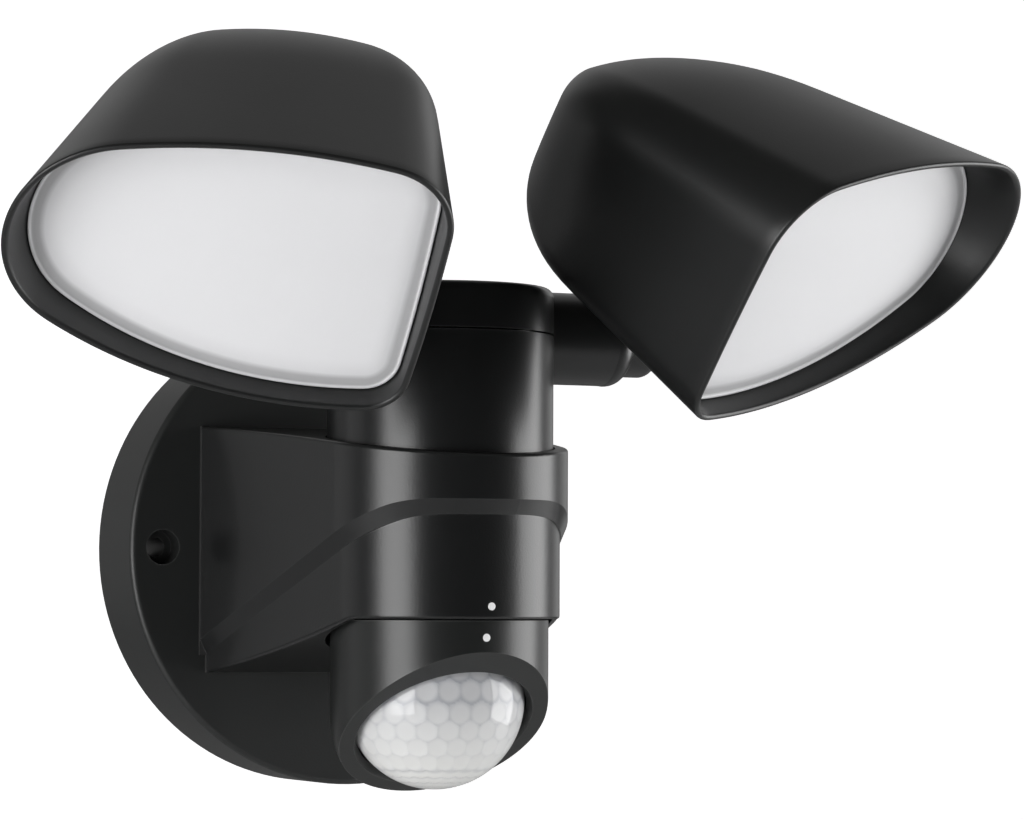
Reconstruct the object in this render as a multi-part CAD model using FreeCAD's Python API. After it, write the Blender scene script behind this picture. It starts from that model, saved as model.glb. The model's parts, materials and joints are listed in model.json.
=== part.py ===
import FreeCAD, Part
import math
import os

# Outdoor security light with a motion sensor: a round wall box carries a moulded arm, the arm
# carries an upright column, two hooded lamp heads turn on knuckles at the column's top, and a
# bullet-shaped sensor housing turns under the column.
#
# Frame: millimetres. The origin is the centre of the back face, which lies on the wall (y = 0).
# +X is to the right as seen from the front, +Y points into the wall, +Z is up.
# Left and right pieces are mirror images about x = 0, but each head has its own set angles.

V = FreeCAD.Vector
X_AXIS = V(1, 0, 0)
Y_AXIS = V(0, 1, 0)
Z_AXIS = V(0, 0, 1)
ORIGIN = V(0, 0, 0)

# ---------------------------------------------------------------- wall box
box_radius = 63.2            # outside of the round wall box
box_depth = 24.3             # from the wall to its front face
box_wall = 2.8
box_front = 3.0              # thickness of the front face
box_edge_round = 1.5
back_plate_thick = 2.5
back_plate_gap = 0.4         # between the back plate and the inside of the box
fixing_span = 108.4          # between the two wall screws
fixing_hole_r = 2.6
fixing_head_r = 4.6          # counterbore for the screw head
fixing_head_depth = 6.0
pillar_r = 7.0
wire_window_r = 12.0         # opening from the box into the arm
cable_entry_z = -41.0
cable_r = 4.0                # supply cable that the grommet takes
grommet_neck_r = 8.0
grommet_flange_r = 11.0
grommet_flange_thick = 1.2
grommet_lip_step = 1.0       # how far the inner lip stands inside the flange
grommet_gap = 0.1
gasket_width = 1.4
gasket_thick = 1.5

# ---------------------------------------------------------------- column and cap
axis_y = -80.25              # upright axis of column and sensor, in front of the wall
column_radius = 29.0
column_wall = 2.8
column_bottom_z = -2.0
column_top_z = 53.95
column_gap = 0.5             # radial, inside the band
cap_seam = 0.5               # open line between column and cap
cap_room = 0.3               # between the cap's roof and the barrels' flanges
cap_wall = 2.6
cap_edge_round = 2.5
skirt_depth = 12.45          # cap's skirt inside the column
skirt_thick = 1.8
skirt_gap = 0.2
foot_thick = 3.0             # inner foot ring of the column
foot_width = 6.7
foot_screw_r = 1.4
foot_screw_length = 8.0
foot_screw_head = (2.5, 1.6)
foot_screw_angles = (-90.0, -10.0, 190.0)
foot_screw_inset = 2.7       # from the tube's inside to the screw's axis
cap_screw_drop = 7.95        # below the cap's lower edge
cap_screw_angles = (60.0, 120.0)
cap_screw_r = 1.3
cap_screw_length = 4.2
cap_screw_head = (2.4, 1.2)
cap_screw_sink = 1.4         # how deep the screw's seat lies in the tube
cap_seal_drop = 3.85
cap_seal_half = 0.8          # half thickness of the square cord
cap_bottom_z = column_top_z + cap_seam
skirt_bottom_z = cap_bottom_z - skirt_depth
skirt_radius = column_radius - column_wall - skirt_gap
skirt_hollow_r = skirt_radius - skirt_thick
foot_inner_r = column_radius - column_wall - foot_width
foot_screw_ring_r = column_radius - column_wall - foot_screw_inset
cap_screw_z = cap_bottom_z - cap_screw_drop
cap_seal_z = cap_bottom_z - cap_seal_drop

# ---------------------------------------------------------------- arm housing
arm_half_width = 43.95       # at the wall box
arm_top_z = 32.0             # at the wall box
arm_bottom_z = -33.0
belt_wall = 3.3              # band outside the column's clearance
belt_front_top_z = 22.0
belt_mid_top_z = 26.8        # above the column's axis
belt_bottom_z = 7.7
belt_step_height = 3.8       # sloping step under the band
belt_step_depth = 2.0
belt_back_rise = 4.6         # band's lower edge above the arm's, at the wall box
belt_edge_round = 0.8
body_inset = 2.04            # body inside the band, round the column
body_back_inset = 1.8        # body inside the band, at the wall box
body_bottom_z = -18.4
body_edge_round = 0.8
sweep_start_y = -106.0       # where the band's lower edge leaves the level
sweep_round = 20.0
lift_start_y = -90.0         # where the underside leaves the level
lift_mid = (-60.0, -26.2)    # y, z of a point on the underside
seal_lip = 0.8               # thickness of the seal between arm and box
ledge_width = 8.5            # ledge that the column stands on
ledge_thick = 5.0
cavity_width = 5.5           # between the column's bore and the cavity under the ledge
arm_duct_half_width = 36.0
arm_duct_z = (-9.0, 19.0)
arm_screw_xz = ((-30.0, 25.5), (30.0, 25.5), (-30.0, -22.0), (30.0, -22.0))
arm_screw_r = 1.75
arm_screw_length = 12.0
screw_head_r = 3.2
screw_head_thick = 2.0
thread_gap = 0.15            # radial, around a screw in its hole
sensor_clearance = 1.3       # radial, between the sensor and the arm's drop to the wall
belt_radius = column_radius + column_gap + belt_wall
body_radius = belt_radius - body_inset
bore_radius = column_radius + column_gap
ledge_inner_r = bore_radius - ledge_width
cavity_radius = bore_radius - cavity_width

# ---------------------------------------------------------------- knuckles
barrel_radius = 12.0
barrel_reach = 22.2          # barrel's end outside the column
barrel_end_round = 5.2       # length of the rounded end
barrel_end_radius = 9.9
barrel_root = 5.0            # how far the barrel reaches into the column
journal_wall = 1.6           # journal outside the axle
journal_gap = 0.1
journal_flange_step = 1.4    # flange outside the journal
journal_flange_thick = 3.4
journal_flange_depth = 9.0   # flange's inner face inside the column's radius
flange_room = 1.5            # clearance round flange, washer and nut in the cap
axle_radius = 6.0
running_gap = 0.06           # radial, for parts that turn in each other
face_gap = 0.3               # between end faces that turn past each other
drum_radius = 9.5
drum_length = 9.0
drum_end_round = 3.5
neck_offset = 4.8            # swivel axis outside the barrel's end
neck_width = 8.4             # along X
neck_depth = 13.0
neck_round = 2.94
spigot_radius = 6.0
disc_step = 2.0              # seat of the lamp head, outside the spigot
disc_span = (12.6, 14.1)     # distances from the tilt axis
boss_wall = 3.2              # lamp head's boss outside the spigot
boss_start = 14.4
boss_end = 27.0
wire_bore_r = 3.2            # through axle and neck
nut_thick = 4.0
nut_wall = 1.5               # thinnest wall of the nuts, at the flats
nut_flange_step = 1.1        # flange and washer outside the flats
nut_gap = 0.1                # between the swivel nut and its seat
washer_thick = 0.8
spigot_over = 1.5            # thread standing past the nut
ring_seal_half = 0.8         # half thickness of the square sealing rings
tilt_seal_step = 1.6         # seal's middle outside the axle
tilt_seal_proud = 0.1
seal_gap = 0.05              # between a seal and its groove
knuckle_z = (column_top_z + cap_bottom_z) / 2 + 0.2
barrel_end_x = column_radius + barrel_reach
barrel_root_x = column_radius - barrel_root
journal_radius = axle_radius + journal_wall
journal_flange_r = journal_radius + journal_flange_step
journal_flange_x = (column_radius - journal_flange_depth,
                    column_radius - journal_flange_depth + journal_flange_thick)
cap_height = cap_wall + knuckle_z - cap_bottom_z + journal_flange_r + cap_room
cap_top_z = cap_bottom_z + cap_height
drum_end_x = barrel_end_x + face_gap + drum_length
neck_x = barrel_end_x + neck_offset
boss_radius = spigot_radius + boss_wall

# ---------------------------------------------------------------- lamp heads
# The opening is a rounded D. Its flat side is at u = 0, its nose points along +u, and the light
# leaves along +w. Each outline is six arcs that meet smoothly.
head_length = 91.8           # from the rim to the back of the dome
head_wall = 1.7
flat_bulge_r = 600.0
upper_corner = (12.7, 19.2)  # v of the centre, radius
lower_corner = (-30.8, 10.9)
upper_side_r = 172.0
lower_side_r = 123.0
nose_u = 73.6
nose_r = 29.3
taper = 0.34                 # share of the size lost from rim to back
taper_u = 62.0               # u that the taper closes on
lean_u = -24.5               # shift of the back against the rim
lean_v = -9.0
dome_start = 0.54            # share of the length where the back begins to round
dome_power = 2.33
dome_steps = (22, 38, 52, 64, 74, 82, 87)
pivot_in_head = V(35.5, -58.8, -47.4)
cant_turn = -8.0             # the head sits canted on its neck by these two angles
cant_nod = -12.0
set_angles = {"right": (56.7, 19.8), "left": (57.8, 11.8)}   # tilt, swivel

diffuser_depth = 11.3        # behind the rim, at v = 0
diffuser_slope = 0.14        # extra depth per unit of v
diffuser_thick = 2.5
diffuser_gap = 0.25
head_seal_thick = 1.2
head_seal_width = 2.4
head_ledge_thick = 1.6
head_ledge_width = 3.0
reflector_thick = 9.0
reflector_wall = 1.4
reflector_gap = 0.4          # between the reflector and the shell's ledge
reflector_lift = 0.2
board_thick = 1.6
heat_plate_thick = 3.0
inner_gap = 0.6              # around the reflector, board and heat plate
head_screw_uv = ((12.0, 22.0), (12.0, -27.0), (72.0, 13.0), (66.0, -22.0))
head_screw_r = 1.4
head_screw_length = 9.0
head_screw_head = (2.4, 1.4)
head_boss_r = 3.6
chip_size = 3.0
chip_thick = 0.7
chip_pitch = 12.0
chip_margin = 9.0            # kept free round a chip's middle
chip_field = (110.0, 80.0)   # u, v

# ---------------------------------------------------------------- motion sensor
lens_radius = 23.0
lens_surround = 4.9          # housing outside the lens
turn_gap = 0.35              # open line between body and sensor
sensor_round_z = -42.5       # centre of the round lower end
sensor_wall = 2.4
face_axis_z = -48.5          # where the slanted face crosses the upright axis
face_angle = 38.0            # face against the horizontal
face_thick = 8.5             # depth of the lens seat
lens_centre_depth = 9.1      # dome centre behind the slanted face
lens_wall = 1.3
lens_flange_step = 1.5       # flange outside the dome
lens_flange_thick = 1.2
lens_gap = 0.25
lip_depth = 2.0              # bevelled lip in front of the lens seat
lip_gap = (2.48, 0.57)       # lip outside the dome, at the face and at its foot
clamp_thick = 2.0
clamp_width = 6.5
clamp_post_r = 1.5
clamp_gap = 0.3              # between the inner pieces and the housing's wall
sensor_board_step = 3.0      # board's edge inside the lens radius
sensor_board_depth = 14.0
board_post_inset = 1.6
pyro_radius = 4.6
pyro_height = 4.2
pyro_base = (0.6, 0.8)       # step and thickness of the can's foot
pyro_window = (4.0, 3.0, 0.3)
neck_radius = 18.0           # sensor's neck in the body
neck_floor = 6.0             # thickness of the body's floor
neck_bore_r = 9.0
retainer_step = 2.8          # ring outside the neck
retainer_lift = 0.15         # ring above the body's floor
retainer_thick = 3.0
retainer_screw_inset = 3.0   # screws inside the neck's outside
retainer_screw_r = 1.3
retainer_screw_length = 8.0
retainer_screw_head = (2.4, 1.4)
retainer_screw_angles = (30.0, 150.0, 270.0)
neck_seal_step = 4.5         # seal's middle outside the neck
dial_x = 9.0
dial_z = -34.0
dial_radius = 3.9
dial_gap = 0.3
dial_stem_r = 1.6
dial_stem_length = 5.8
dial_pocket = 4.5            # seat of the dials inside the housing's outside
dial_lift = 0.1
dial_proud = 0.5
dial_slot = (1.0, 1.2)       # width and depth
pad_edge = 6.5               # thick wall around the dials
pad_thick = 3.0
trimmer_half = 3.4
trimmer_height = 2.9
trimmer_gap = 0.3
control_board_size = (30.0, 14.0)
dot_radius = 1.0
dot_depth = 0.9
dot_gap = 0.02
dot_proud = 0.15
body_dot_z = -15.2
sensor_dot_z = -23.0
sensor_radius = lens_radius + lens_surround
sensor_top_z = body_bottom_z - turn_gap
lens_flange_r = lens_radius + lens_flange_step
lip_outer_r = math.sqrt(lens_radius ** 2 - lens_centre_depth ** 2) + lip_gap[0]
lip_inner_r = math.sqrt(lens_radius ** 2 - (lens_centre_depth - lip_depth) ** 2) + lip_gap[1]
sensor_board_r = lens_radius - sensor_board_step
retainer_radius = neck_radius + retainer_step
retainer_screw_ring_r = neck_radius - retainer_screw_inset
retainer_low_z = body_bottom_z + neck_floor + retainer_lift
dial_seat = sensor_radius - dial_pocket

# ---------------------------------------------------------------- inside the wall box
driver_size = (64.0, 44.0)   # x, z
driver_z = -2.0
driver_post = 2.5
driver_post_r = 2.6
driver_screw_r = 1.2
driver_screw_length = 5.5
driver_screw_head = (2.4, 1.4)
driver_margin = 5.0          # screws inside the board's edge
terminal_size = (32.0, 11.0, 10.0)
terminal_z = 34.0
terminal_poles = 3
terminal_wire_r = 2.2
terminal_wire_depth = 0.6    # share of the block's depth, also for the screw holes
terminal_pocket_r = 2.4
terminal_screw = (1.2, 3.6)  # radius and length
terminal_screw_head = (2.2, 1.5)
terminal_screw_sink = 3.5


# ---------------------------------------------------------------- helpers
def rod(radius, start, direction, length):
    """Round bar from a point along a direction."""
    return Part.makeCylinder(radius, length, start, direction)


def tube(outer, inner, start, direction, length):
    """Round bar with a bore."""
    return rod(outer, start, direction, length).cut(rod(inner, start, direction, length))


def fused(shapes):
    """One solid from touching solids."""
    return shapes[0].multiFuse(shapes[1:]).removeSplitter()


def seal_ring(middle_r, half, centre, direction):
    """Square-section sealing ring about a centre."""
    return tube(middle_r + half, middle_r - half, centre - direction * half, direction, 2 * half)


def block(low, high):
    """Box between two corners."""
    return Part.makeBox(high[0] - low[0], high[1] - low[1], high[2] - low[2], V(*low))


def prism(points, direction):
    """Straight-sided solid: points are vectors, and a triple (p, m, q) is an arc through m."""
    edges = []
    for start, middle, end in points:
        if middle is None:
            edges.append(Part.makeLine(start, end))
        else:
            edges.append(Part.Arc(start, middle, end).toShape())
    return Part.Face(Part.Wire(edges)).extrude(direction)


def screw(tip_to_head, head_at, radius, length, head_r=screw_head_r, head_thick=screw_head_thick):
    """Slotted screw: the head stands on head_at and the shank runs the other way."""
    head = rod(head_r, head_at, tip_to_head, head_thick)
    shank = rod(radius, head_at - tip_to_head * length, tip_to_head, length)
    slot_width = head_r / 3
    slot = Part.makeBox(head_r * 3, slot_width, head_thick)
    slot.translate(V(-head_r * 1.5, -slot_width / 2, head_thick / 2))
    slot.Placement = FreeCAD.Placement(head_at, FreeCAD.Rotation(Z_AXIS, tip_to_head)) * slot.Placement
    return fused([head, shank]).cut(slot)


def outward(angle):
    """Level direction at an angle about the upright axis."""
    a = math.radians(angle)
    return V(math.cos(a), math.sin(a), 0)


def around(radius, angle, z):
    """Point on a circle about the upright axis."""
    return V(0, axis_y, z) + outward(angle) * radius


def save(name, shape):
    """Write one piece; left-over compounds with one solid are unpacked."""
    solids = shape.Solids
    piece = solids[0] if len(solids) == 1 else Part.makeCompound(solids)
    piece.exportStep("parts/" + name + ".step")
    print(name, len(solids), round(piece.Volume, 1), piece.isValid())


over = 5.0                   # how far cutting tools reach past what they cut
box_front_y = -box_depth
arm_back_y = box_front_y - seal_lip


# ---------------------------------------------------------------- wall box pieces
def fixing_points(y):
    return [V(side * fixing_span / 2, y, 0) for side in (-1, 1)]


def make_wall_cover():
    """Round drum, open at the back, with two screw pillars and a window to the arm."""
    drum = rod(box_radius, ORIGIN, -Y_AXIS, box_depth)
    rim = [e for e in drum.Edges if abs(e.CenterOfMass.y + box_depth) < 0.01]
    drum = drum.makeFillet(box_edge_round, rim)
    drum = drum.cut(rod(box_radius - box_wall, ORIGIN, -Y_AXIS, box_depth - box_front))
    pillars = [rod(pillar_r, p, -Y_AXIS, box_depth - back_plate_thick - box_front / 2)
               for p in fixing_points(-back_plate_thick)]
    inside = rod(box_radius - box_wall / 2, ORIGIN, -Y_AXIS, box_depth)
    drum = fused([drum] + [p.common(inside) for p in pillars])
    for p in fixing_points(0):
        drum = drum.cut(rod(fixing_hole_r, p, -Y_AXIS, box_depth))
        drum = drum.cut(rod(fixing_head_r, p - Y_AXIS * box_depth, Y_AXIS, fixing_head_depth))
    drum = drum.cut(rod(wire_window_r, V(0, -box_depth + box_front * 2, 0), -Y_AXIS, box_front * 3))
    for x, z in arm_screw_xz:
        drum = drum.cut(rod(arm_screw_r + thread_gap, V(x, 0, z), -Y_AXIS, box_depth))
    groove = tube(box_radius - (box_wall - gasket_width) / 2, box_radius - (box_wall + gasket_width) / 2,
                  ORIGIN, -Y_AXIS, gasket_thick)
    return drum.cut(groove)


def make_wall_gasket():
    """Foam ring in the groove of the drum's rim, flush with the wall."""
    middle = box_radius - box_wall / 2
    return tube(middle + gasket_width / 2, middle - gasket_width / 2, ORIGIN, -Y_AXIS, gasket_thick)


def make_back_plate():
    """Flat plate on the wall: cable entry, two screw holes and posts for the driver board."""
    plate = rod(box_radius - box_wall - back_plate_gap, ORIGIN, -Y_AXIS, back_plate_thick)
    posts = [rod(driver_post_r, V(x, -back_plate_thick, z), -Y_AXIS, driver_post)
             for x, z in driver_corners()]
    plate = fused([plate] + posts)
    for p in fixing_points(0):
        plate = plate.cut(rod(fixing_hole_r, p, -Y_AXIS, back_plate_thick))
    entry = V(0, 0, cable_entry_z)
    plate = plate.cut(rod(grommet_neck_r + grommet_gap, entry, -Y_AXIS, back_plate_thick))
    plate = plate.cut(rod(grommet_flange_r + 2 * grommet_gap, entry, -Y_AXIS, grommet_flange_thick))
    for x, z in driver_corners():
        start = V(x, -back_plate_thick - driver_post, z)
        plate = plate.cut(rod(driver_screw_r + thread_gap, start, Y_AXIS, driver_screw_length - board_thick))
    return plate


def make_cable_grommet():
    """Rubber grommet in the cable entry, with a bore for the supply cable."""
    entry = V(0, 0, cable_entry_z)
    outer = rod(grommet_flange_r, entry, -Y_AXIS, grommet_flange_thick)
    neck = rod(grommet_neck_r, entry, -Y_AXIS, back_plate_thick)
    inner = rod(grommet_flange_r - grommet_lip_step, entry - Y_AXIS * back_plate_thick, -Y_AXIS,
                grommet_flange_thick)
    solid = fused([outer, neck, inner])
    return solid.cut(rod(cable_r, entry, -Y_AXIS, back_plate_thick + grommet_flange_thick))


def driver_corners():
    half_x = driver_size[0] / 2 - driver_margin
    half_z = driver_size[1] / 2 - driver_margin
    return [(sx * half_x, driver_z + sz * half_z) for sx in (-1, 1) for sz in (-1, 1)]


def driver_face_y():
    """Front face of the driver board."""
    return -back_plate_thick - driver_post - board_thick


def make_driver_board():
    low = (-driver_size[0] / 2, driver_face_y(), driver_z - driver_size[1] / 2)
    high = (driver_size[0] / 2, driver_face_y() + board_thick, driver_z + driver_size[1] / 2)
    board = block(low, high)
    for x, z in driver_corners():
        board = board.cut(rod(driver_screw_r + thread_gap, V(x, 0, z), -Y_AXIS, box_depth))
    return board


def make_driver_parts():
    """Transformer, two capacitors and a relay, standing on the driver board."""
    y = driver_face_y()
    core = block((-20, y - 11, driver_z - 14), (-4, y, driver_z + 2))
    bobbin = block((-18, y - 12.5, driver_z - 11), (-6, y - 11, driver_z - 1))
    relay = block((-20, y - 10, driver_z + 6), (-8, y, driver_z + 16))
    caps = [rod(r, V(x, y, driver_z + z), -Y_AXIS, h)
            for r, x, z, h in ((5, 6, -9, 12), (4, 17, -9, 10), (3, 4, 9, 9), (3, 13, 9, 9))]
    return Part.makeCompound([fused([core, bobbin]), relay] + caps)


def make_driver_screws():
    return Part.makeCompound([screw(-Y_AXIS, V(x, driver_face_y(), z), driver_screw_r,
                                    driver_screw_length, *driver_screw_head) for x, z in driver_corners()])


def terminal_pole_x():
    pitch = terminal_size[0] / terminal_poles
    return [(i - (terminal_poles - 1) / 2) * pitch for i in range(terminal_poles)]


def make_terminal_block():
    """Screw terminal for the supply, on the back plate."""
    width, depth, height = terminal_size
    low = (-width / 2, -back_plate_thick - depth, terminal_z - height / 2)
    high = (width / 2, -back_plate_thick, terminal_z + height / 2)
    body = block(low, high)
    reach = depth * terminal_wire_depth
    for x in terminal_pole_x():
        body = body.cut(rod(terminal_wire_r, V(x, low[1] + reach, low[2]), Z_AXIS, height))
        body = body.cut(rod(terminal_pocket_r, V(x, low[1], terminal_z), Y_AXIS, terminal_screw_sink))
        body = body.cut(rod(terminal_screw[0] + thread_gap, V(x, low[1], terminal_z), Y_AXIS, reach))
    return body


def make_terminal_screws():
    seat = terminal_screw_sink - back_plate_thick - terminal_size[1]
    return Part.makeCompound([screw(-Y_AXIS, V(x, seat, terminal_z), *terminal_screw, *terminal_screw_head)
                              for x in terminal_pole_x()])


# ---------------------------------------------------------------- arm housing
def plan_outline(radius, half_width, low_z, high_z, back_y):
    """Prism whose plan runs from the wall box in two flanks to a round front."""
    centre_y = axis_y
    reach_x = half_width
    reach_y = back_y - centre_y
    distance = math.hypot(reach_x, reach_y)
    angle = math.atan2(reach_y, reach_x) - math.acos(radius / distance)
    right = V(radius * math.cos(angle), centre_y + radius * math.sin(angle), low_z)
    left = V(-right.x, right.y, low_z)
    front = V(0, centre_y - radius, low_z)
    back_right = V(half_width, back_y, low_z)
    back_left = V(-half_width, back_y, low_z)
    outline = [(back_left, None, back_right), (back_right, None, right), (right, front, left),
               (left, None, back_left)]
    return prism(outline, Z_AXIS * (high_z - low_z))


def side_solid(outline, half_width):
    """Prism along X of an outline given as (y, z) pairs."""
    edges = []
    for start, middle, end in outline:
        place = [None if p is None else V(-half_width, p[0], p[1]) for p in (start, middle, end)]
        edges.append(place)
    return prism(edges, X_AXIS * (2 * half_width))


def rounded_corner(before, corner, after, radius):
    """Start, middle and end of the arc that rounds a corner; all are (y, z) pairs."""
    legs = []
    for other in (before, after):
        length = math.hypot(other[0] - corner[0], other[1] - corner[1])
        legs.append(((other[0] - corner[0]) / length, (other[1] - corner[1]) / length))
    half = math.acos(legs[0][0] * legs[1][0] + legs[0][1] * legs[1][1]) / 2
    reach = radius / math.tan(half)
    start, end = [(corner[0] + leg[0] * reach, corner[1] + leg[1] * reach) for leg in legs]
    across = (legs[0][0] + legs[1][0], legs[0][1] + legs[1][1])
    size = math.hypot(*across)
    inward = radius / math.sin(half) - radius
    middle = (corner[0] + across[0] / size * inward, corner[1] + across[1] / size * inward)
    return start, middle, end


def wall_edges(shape, plan, low_z, high_z):
    """Edges that run along the upright side wall of a plan, with their middle between two heights."""
    wall = Part.Compound([f for f in plan.Faces
                          if abs(f.normalAt(0.5, 0.5).z) < 0.01 and f.CenterOfMass.y < arm_back_y - 1])
    found = []
    for edge in shape.Edges:
        half = (edge.FirstParameter + edge.LastParameter) / 2
        middle = edge.valueAt(half)
        level = abs(edge.tangentAt(half).z) < 0.95
        if level and low_z < middle.z < high_z and wall.distToShape(Part.Vertex(middle))[0] < 0.01:
            found.append(edge)
    return found


def belt_band():
    """Band round the column, flaring back to the full height of the arm at the wall box."""
    front_y = axis_y - belt_radius - over
    top_back = (arm_back_y, arm_top_z)
    top_mid = (axis_y, belt_mid_top_z)
    top_front = (front_y, belt_front_top_z)
    low_front = (front_y, belt_bottom_z)
    low_back = (arm_back_y, arm_bottom_z + belt_back_rise)
    bend = rounded_corner(low_front, (sweep_start_y, belt_bottom_z), low_back, sweep_round)
    profile = [(top_back, top_mid, top_front), (top_front, None, low_front),
               (low_front, None, bend[0]), bend, (bend[2], None, low_back),
               (low_back, None, top_back)]
    plan = plan_outline(belt_radius, arm_half_width, arm_bottom_z - over, arm_top_z + over, arm_back_y)
    band = plan.common(side_solid(profile, arm_half_width + over))
    lower = wall_edges(band, plan, arm_bottom_z - 1, belt_bottom_z + 1)
    band = band.makeChamfer(belt_step_depth, belt_step_height, lower)
    upper = wall_edges(band, plan, belt_front_top_z, arm_top_z + 1)
    return band.makeFillet(belt_edge_round, upper)


def body_block():
    """Body under the band; its underside drops towards the wall box."""
    front_y = axis_y - body_radius - over
    high = belt_bottom_z + belt_step_height
    profile = [((arm_back_y, high), None, (front_y, high)),
               ((front_y, high), None, (front_y, body_bottom_z)),
               ((front_y, body_bottom_z), None, (lift_start_y, body_bottom_z)),
               ((lift_start_y, body_bottom_z), lift_mid, (arm_back_y, arm_bottom_z)),
               ((arm_back_y, arm_bottom_z), None, (arm_back_y, high))]
    plan = plan_outline(body_radius, arm_half_width - body_back_inset, arm_bottom_z - over, high + over,
                        arm_back_y)
    body = plan.common(side_solid(profile, arm_half_width + over))
    lower = wall_edges(body, plan, arm_bottom_z - 1, body_bottom_z + 1)
    return body.makeFillet(body_edge_round, lower)


def make_arm_housing():
    """Moulded arm: band and body in one piece, bored for the column and the sensor's neck."""
    arm = fused([belt_band(), body_block()])
    floor_top = body_bottom_z + neck_floor
    ledge_low = column_bottom_z - ledge_thick
    high = arm_top_z - column_bottom_z
    arm = arm.cut(rod(bore_radius, V(0, axis_y, column_bottom_z), Z_AXIS, high))
    arm = arm.cut(rod(ledge_inner_r, V(0, axis_y, floor_top), Z_AXIS, high))
    arm = arm.cut(rod(cavity_radius, V(0, axis_y, floor_top), Z_AXIS, ledge_low - floor_top))
    arm = arm.cut(rod(neck_radius, V(0, axis_y, body_bottom_z), Z_AXIS, neck_floor))
    duct = plan_outline(ledge_inner_r, arm_duct_half_width, arm_duct_z[0], arm_duct_z[1], arm_back_y)
    arm = arm.cut(duct)
    arm = arm.cut(rod(sensor_radius + sensor_clearance, V(0, axis_y, arm_bottom_z), Z_AXIS,
                      body_bottom_z - arm_bottom_z))
    for x, z in arm_screw_xz:
        arm = arm.cut(rod(arm_screw_r + thread_gap, V(x, arm_back_y, z), -Y_AXIS,
                          arm_screw_length - box_front - seal_lip))
    for angle in foot_screw_angles:
        start = around(foot_screw_ring_r, angle, column_bottom_z)
        arm = arm.cut(rod(foot_screw_r + thread_gap, start, -Z_AXIS, ledge_thick))
    dot = V(0, axis_y - body_radius, body_dot_z)
    return arm.cut(rod(dot_radius, dot, Y_AXIS, dot_depth - dot_proud))


def make_arm_gasket():
    """Thin seal between the arm and the wall box; it follows the step between band and body."""
    half = arm_half_width
    seal = block((-half, arm_back_y, arm_bottom_z), (half, box_front_y, arm_top_z))
    for side in (-1, 1):
        edges = sorted((side * half, side * (half - body_back_inset)))
        seal = seal.cut(block((edges[0], arm_back_y, arm_bottom_z),
                              (edges[1], box_front_y, arm_bottom_z + belt_back_rise)))
    seal = seal.cut(rod(wire_window_r, V(0, box_front_y, 0), -Y_AXIS, seal_lip))
    for x, z in arm_screw_xz:
        seal = seal.cut(rod(arm_screw_r + thread_gap, V(x, box_front_y, z), -Y_AXIS, seal_lip))
    return seal


def make_arm_screws():
    inside_y = -box_depth + box_front
    return Part.makeCompound([screw(Y_AXIS, V(x, inside_y, z), arm_screw_r,
                                    arm_screw_length, screw_head_r, screw_head_thick)
                              for x, z in arm_screw_xz])


def dot_piece(radius, z):
    """White index dot let into a round wall at the front."""
    start = V(0, axis_y - radius - dot_proud, z)
    return rod(dot_radius - dot_gap, start, Y_AXIS, dot_depth)


# ---------------------------------------------------------------- column and cap
def knuckle_bar(radius, from_x, to_x):
    """Round bar on the tilt axis."""
    return rod(radius, V(from_x, axis_y, knuckle_z), X_AXIS, to_x - from_x)


def through_bar(radius):
    """Round bar on the tilt axis, right through the column."""
    return knuckle_bar(radius, -column_radius - over, column_radius + over)


def make_column_tube():
    """Upright tube with half-round seats for the two arm barrels in its top edge."""
    inner_r = column_radius - column_wall
    column = tube(column_radius, inner_r, V(0, axis_y, column_bottom_z), Z_AXIS,
                  column_top_z - column_bottom_z)
    foot = tube(inner_r + column_wall / 2, foot_inner_r, V(0, axis_y, column_bottom_z), Z_AXIS, foot_thick)
    column = fused([column, foot])
    column = column.cut(through_bar(journal_radius + journal_gap))
    for angle in foot_screw_angles:
        start = around(foot_screw_ring_r, angle, column_bottom_z)
        column = column.cut(rod(foot_screw_r + thread_gap, start, Z_AXIS, foot_thick))
    for angle in cap_screw_angles:
        inside = around(inner_r - over, angle, cap_screw_z)
        seat = around(column_radius - cap_screw_sink, angle, cap_screw_z)
        column = column.cut(rod(cap_screw_r + thread_gap, inside, outward(angle), column_wall + 2 * over))
        column = column.cut(rod(cap_screw_head[0] + thread_gap, seat, outward(angle), cap_screw_sink + over))
    return column


def make_column_cap():
    """Cap with a skirt that drops into the column, and half-round seats for the barrels."""
    cap = rod(column_radius, V(0, axis_y, cap_bottom_z), Z_AXIS, cap_height)
    rim = [e for e in cap.Edges if abs(e.CenterOfMass.z - cap_top_z) < 0.01]
    cap = cap.makeFillet(cap_edge_round, rim)
    skirt_foot = V(0, axis_y, skirt_bottom_z)
    skirt = rod(skirt_radius, skirt_foot, Z_AXIS, skirt_depth)
    cap = fused([cap, skirt])
    hollow_height = cap_height + skirt_depth - cap_wall
    cap = cap.cut(rod(skirt_hollow_r, skirt_foot, Z_AXIS, hollow_height))
    cap = cap.cut(through_bar(journal_radius + journal_gap))
    room = journal_flange_r + flange_room
    inside = rod(skirt_radius + seal_gap, skirt_foot, Z_AXIS, hollow_height)
    cap = cap.cut(through_bar(room).common(inside))
    below = rod(skirt_radius + seal_gap, skirt_foot, Z_AXIS, skirt_depth)
    slot = block((-column_radius, axis_y - room, skirt_bottom_z), (column_radius, axis_y + room, knuckle_z))
    cap = cap.cut(slot.common(below))
    cap = cap.cut(seal_ring(skirt_radius, cap_seal_half + seal_gap, V(0, axis_y, cap_seal_z), Z_AXIS))
    for angle in cap_screw_angles:
        start = around(skirt_hollow_r - over, angle, cap_screw_z)
        cap = cap.cut(rod(cap_screw_r + thread_gap, start, outward(angle), skirt_thick + 2 * over))
    return cap


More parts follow.
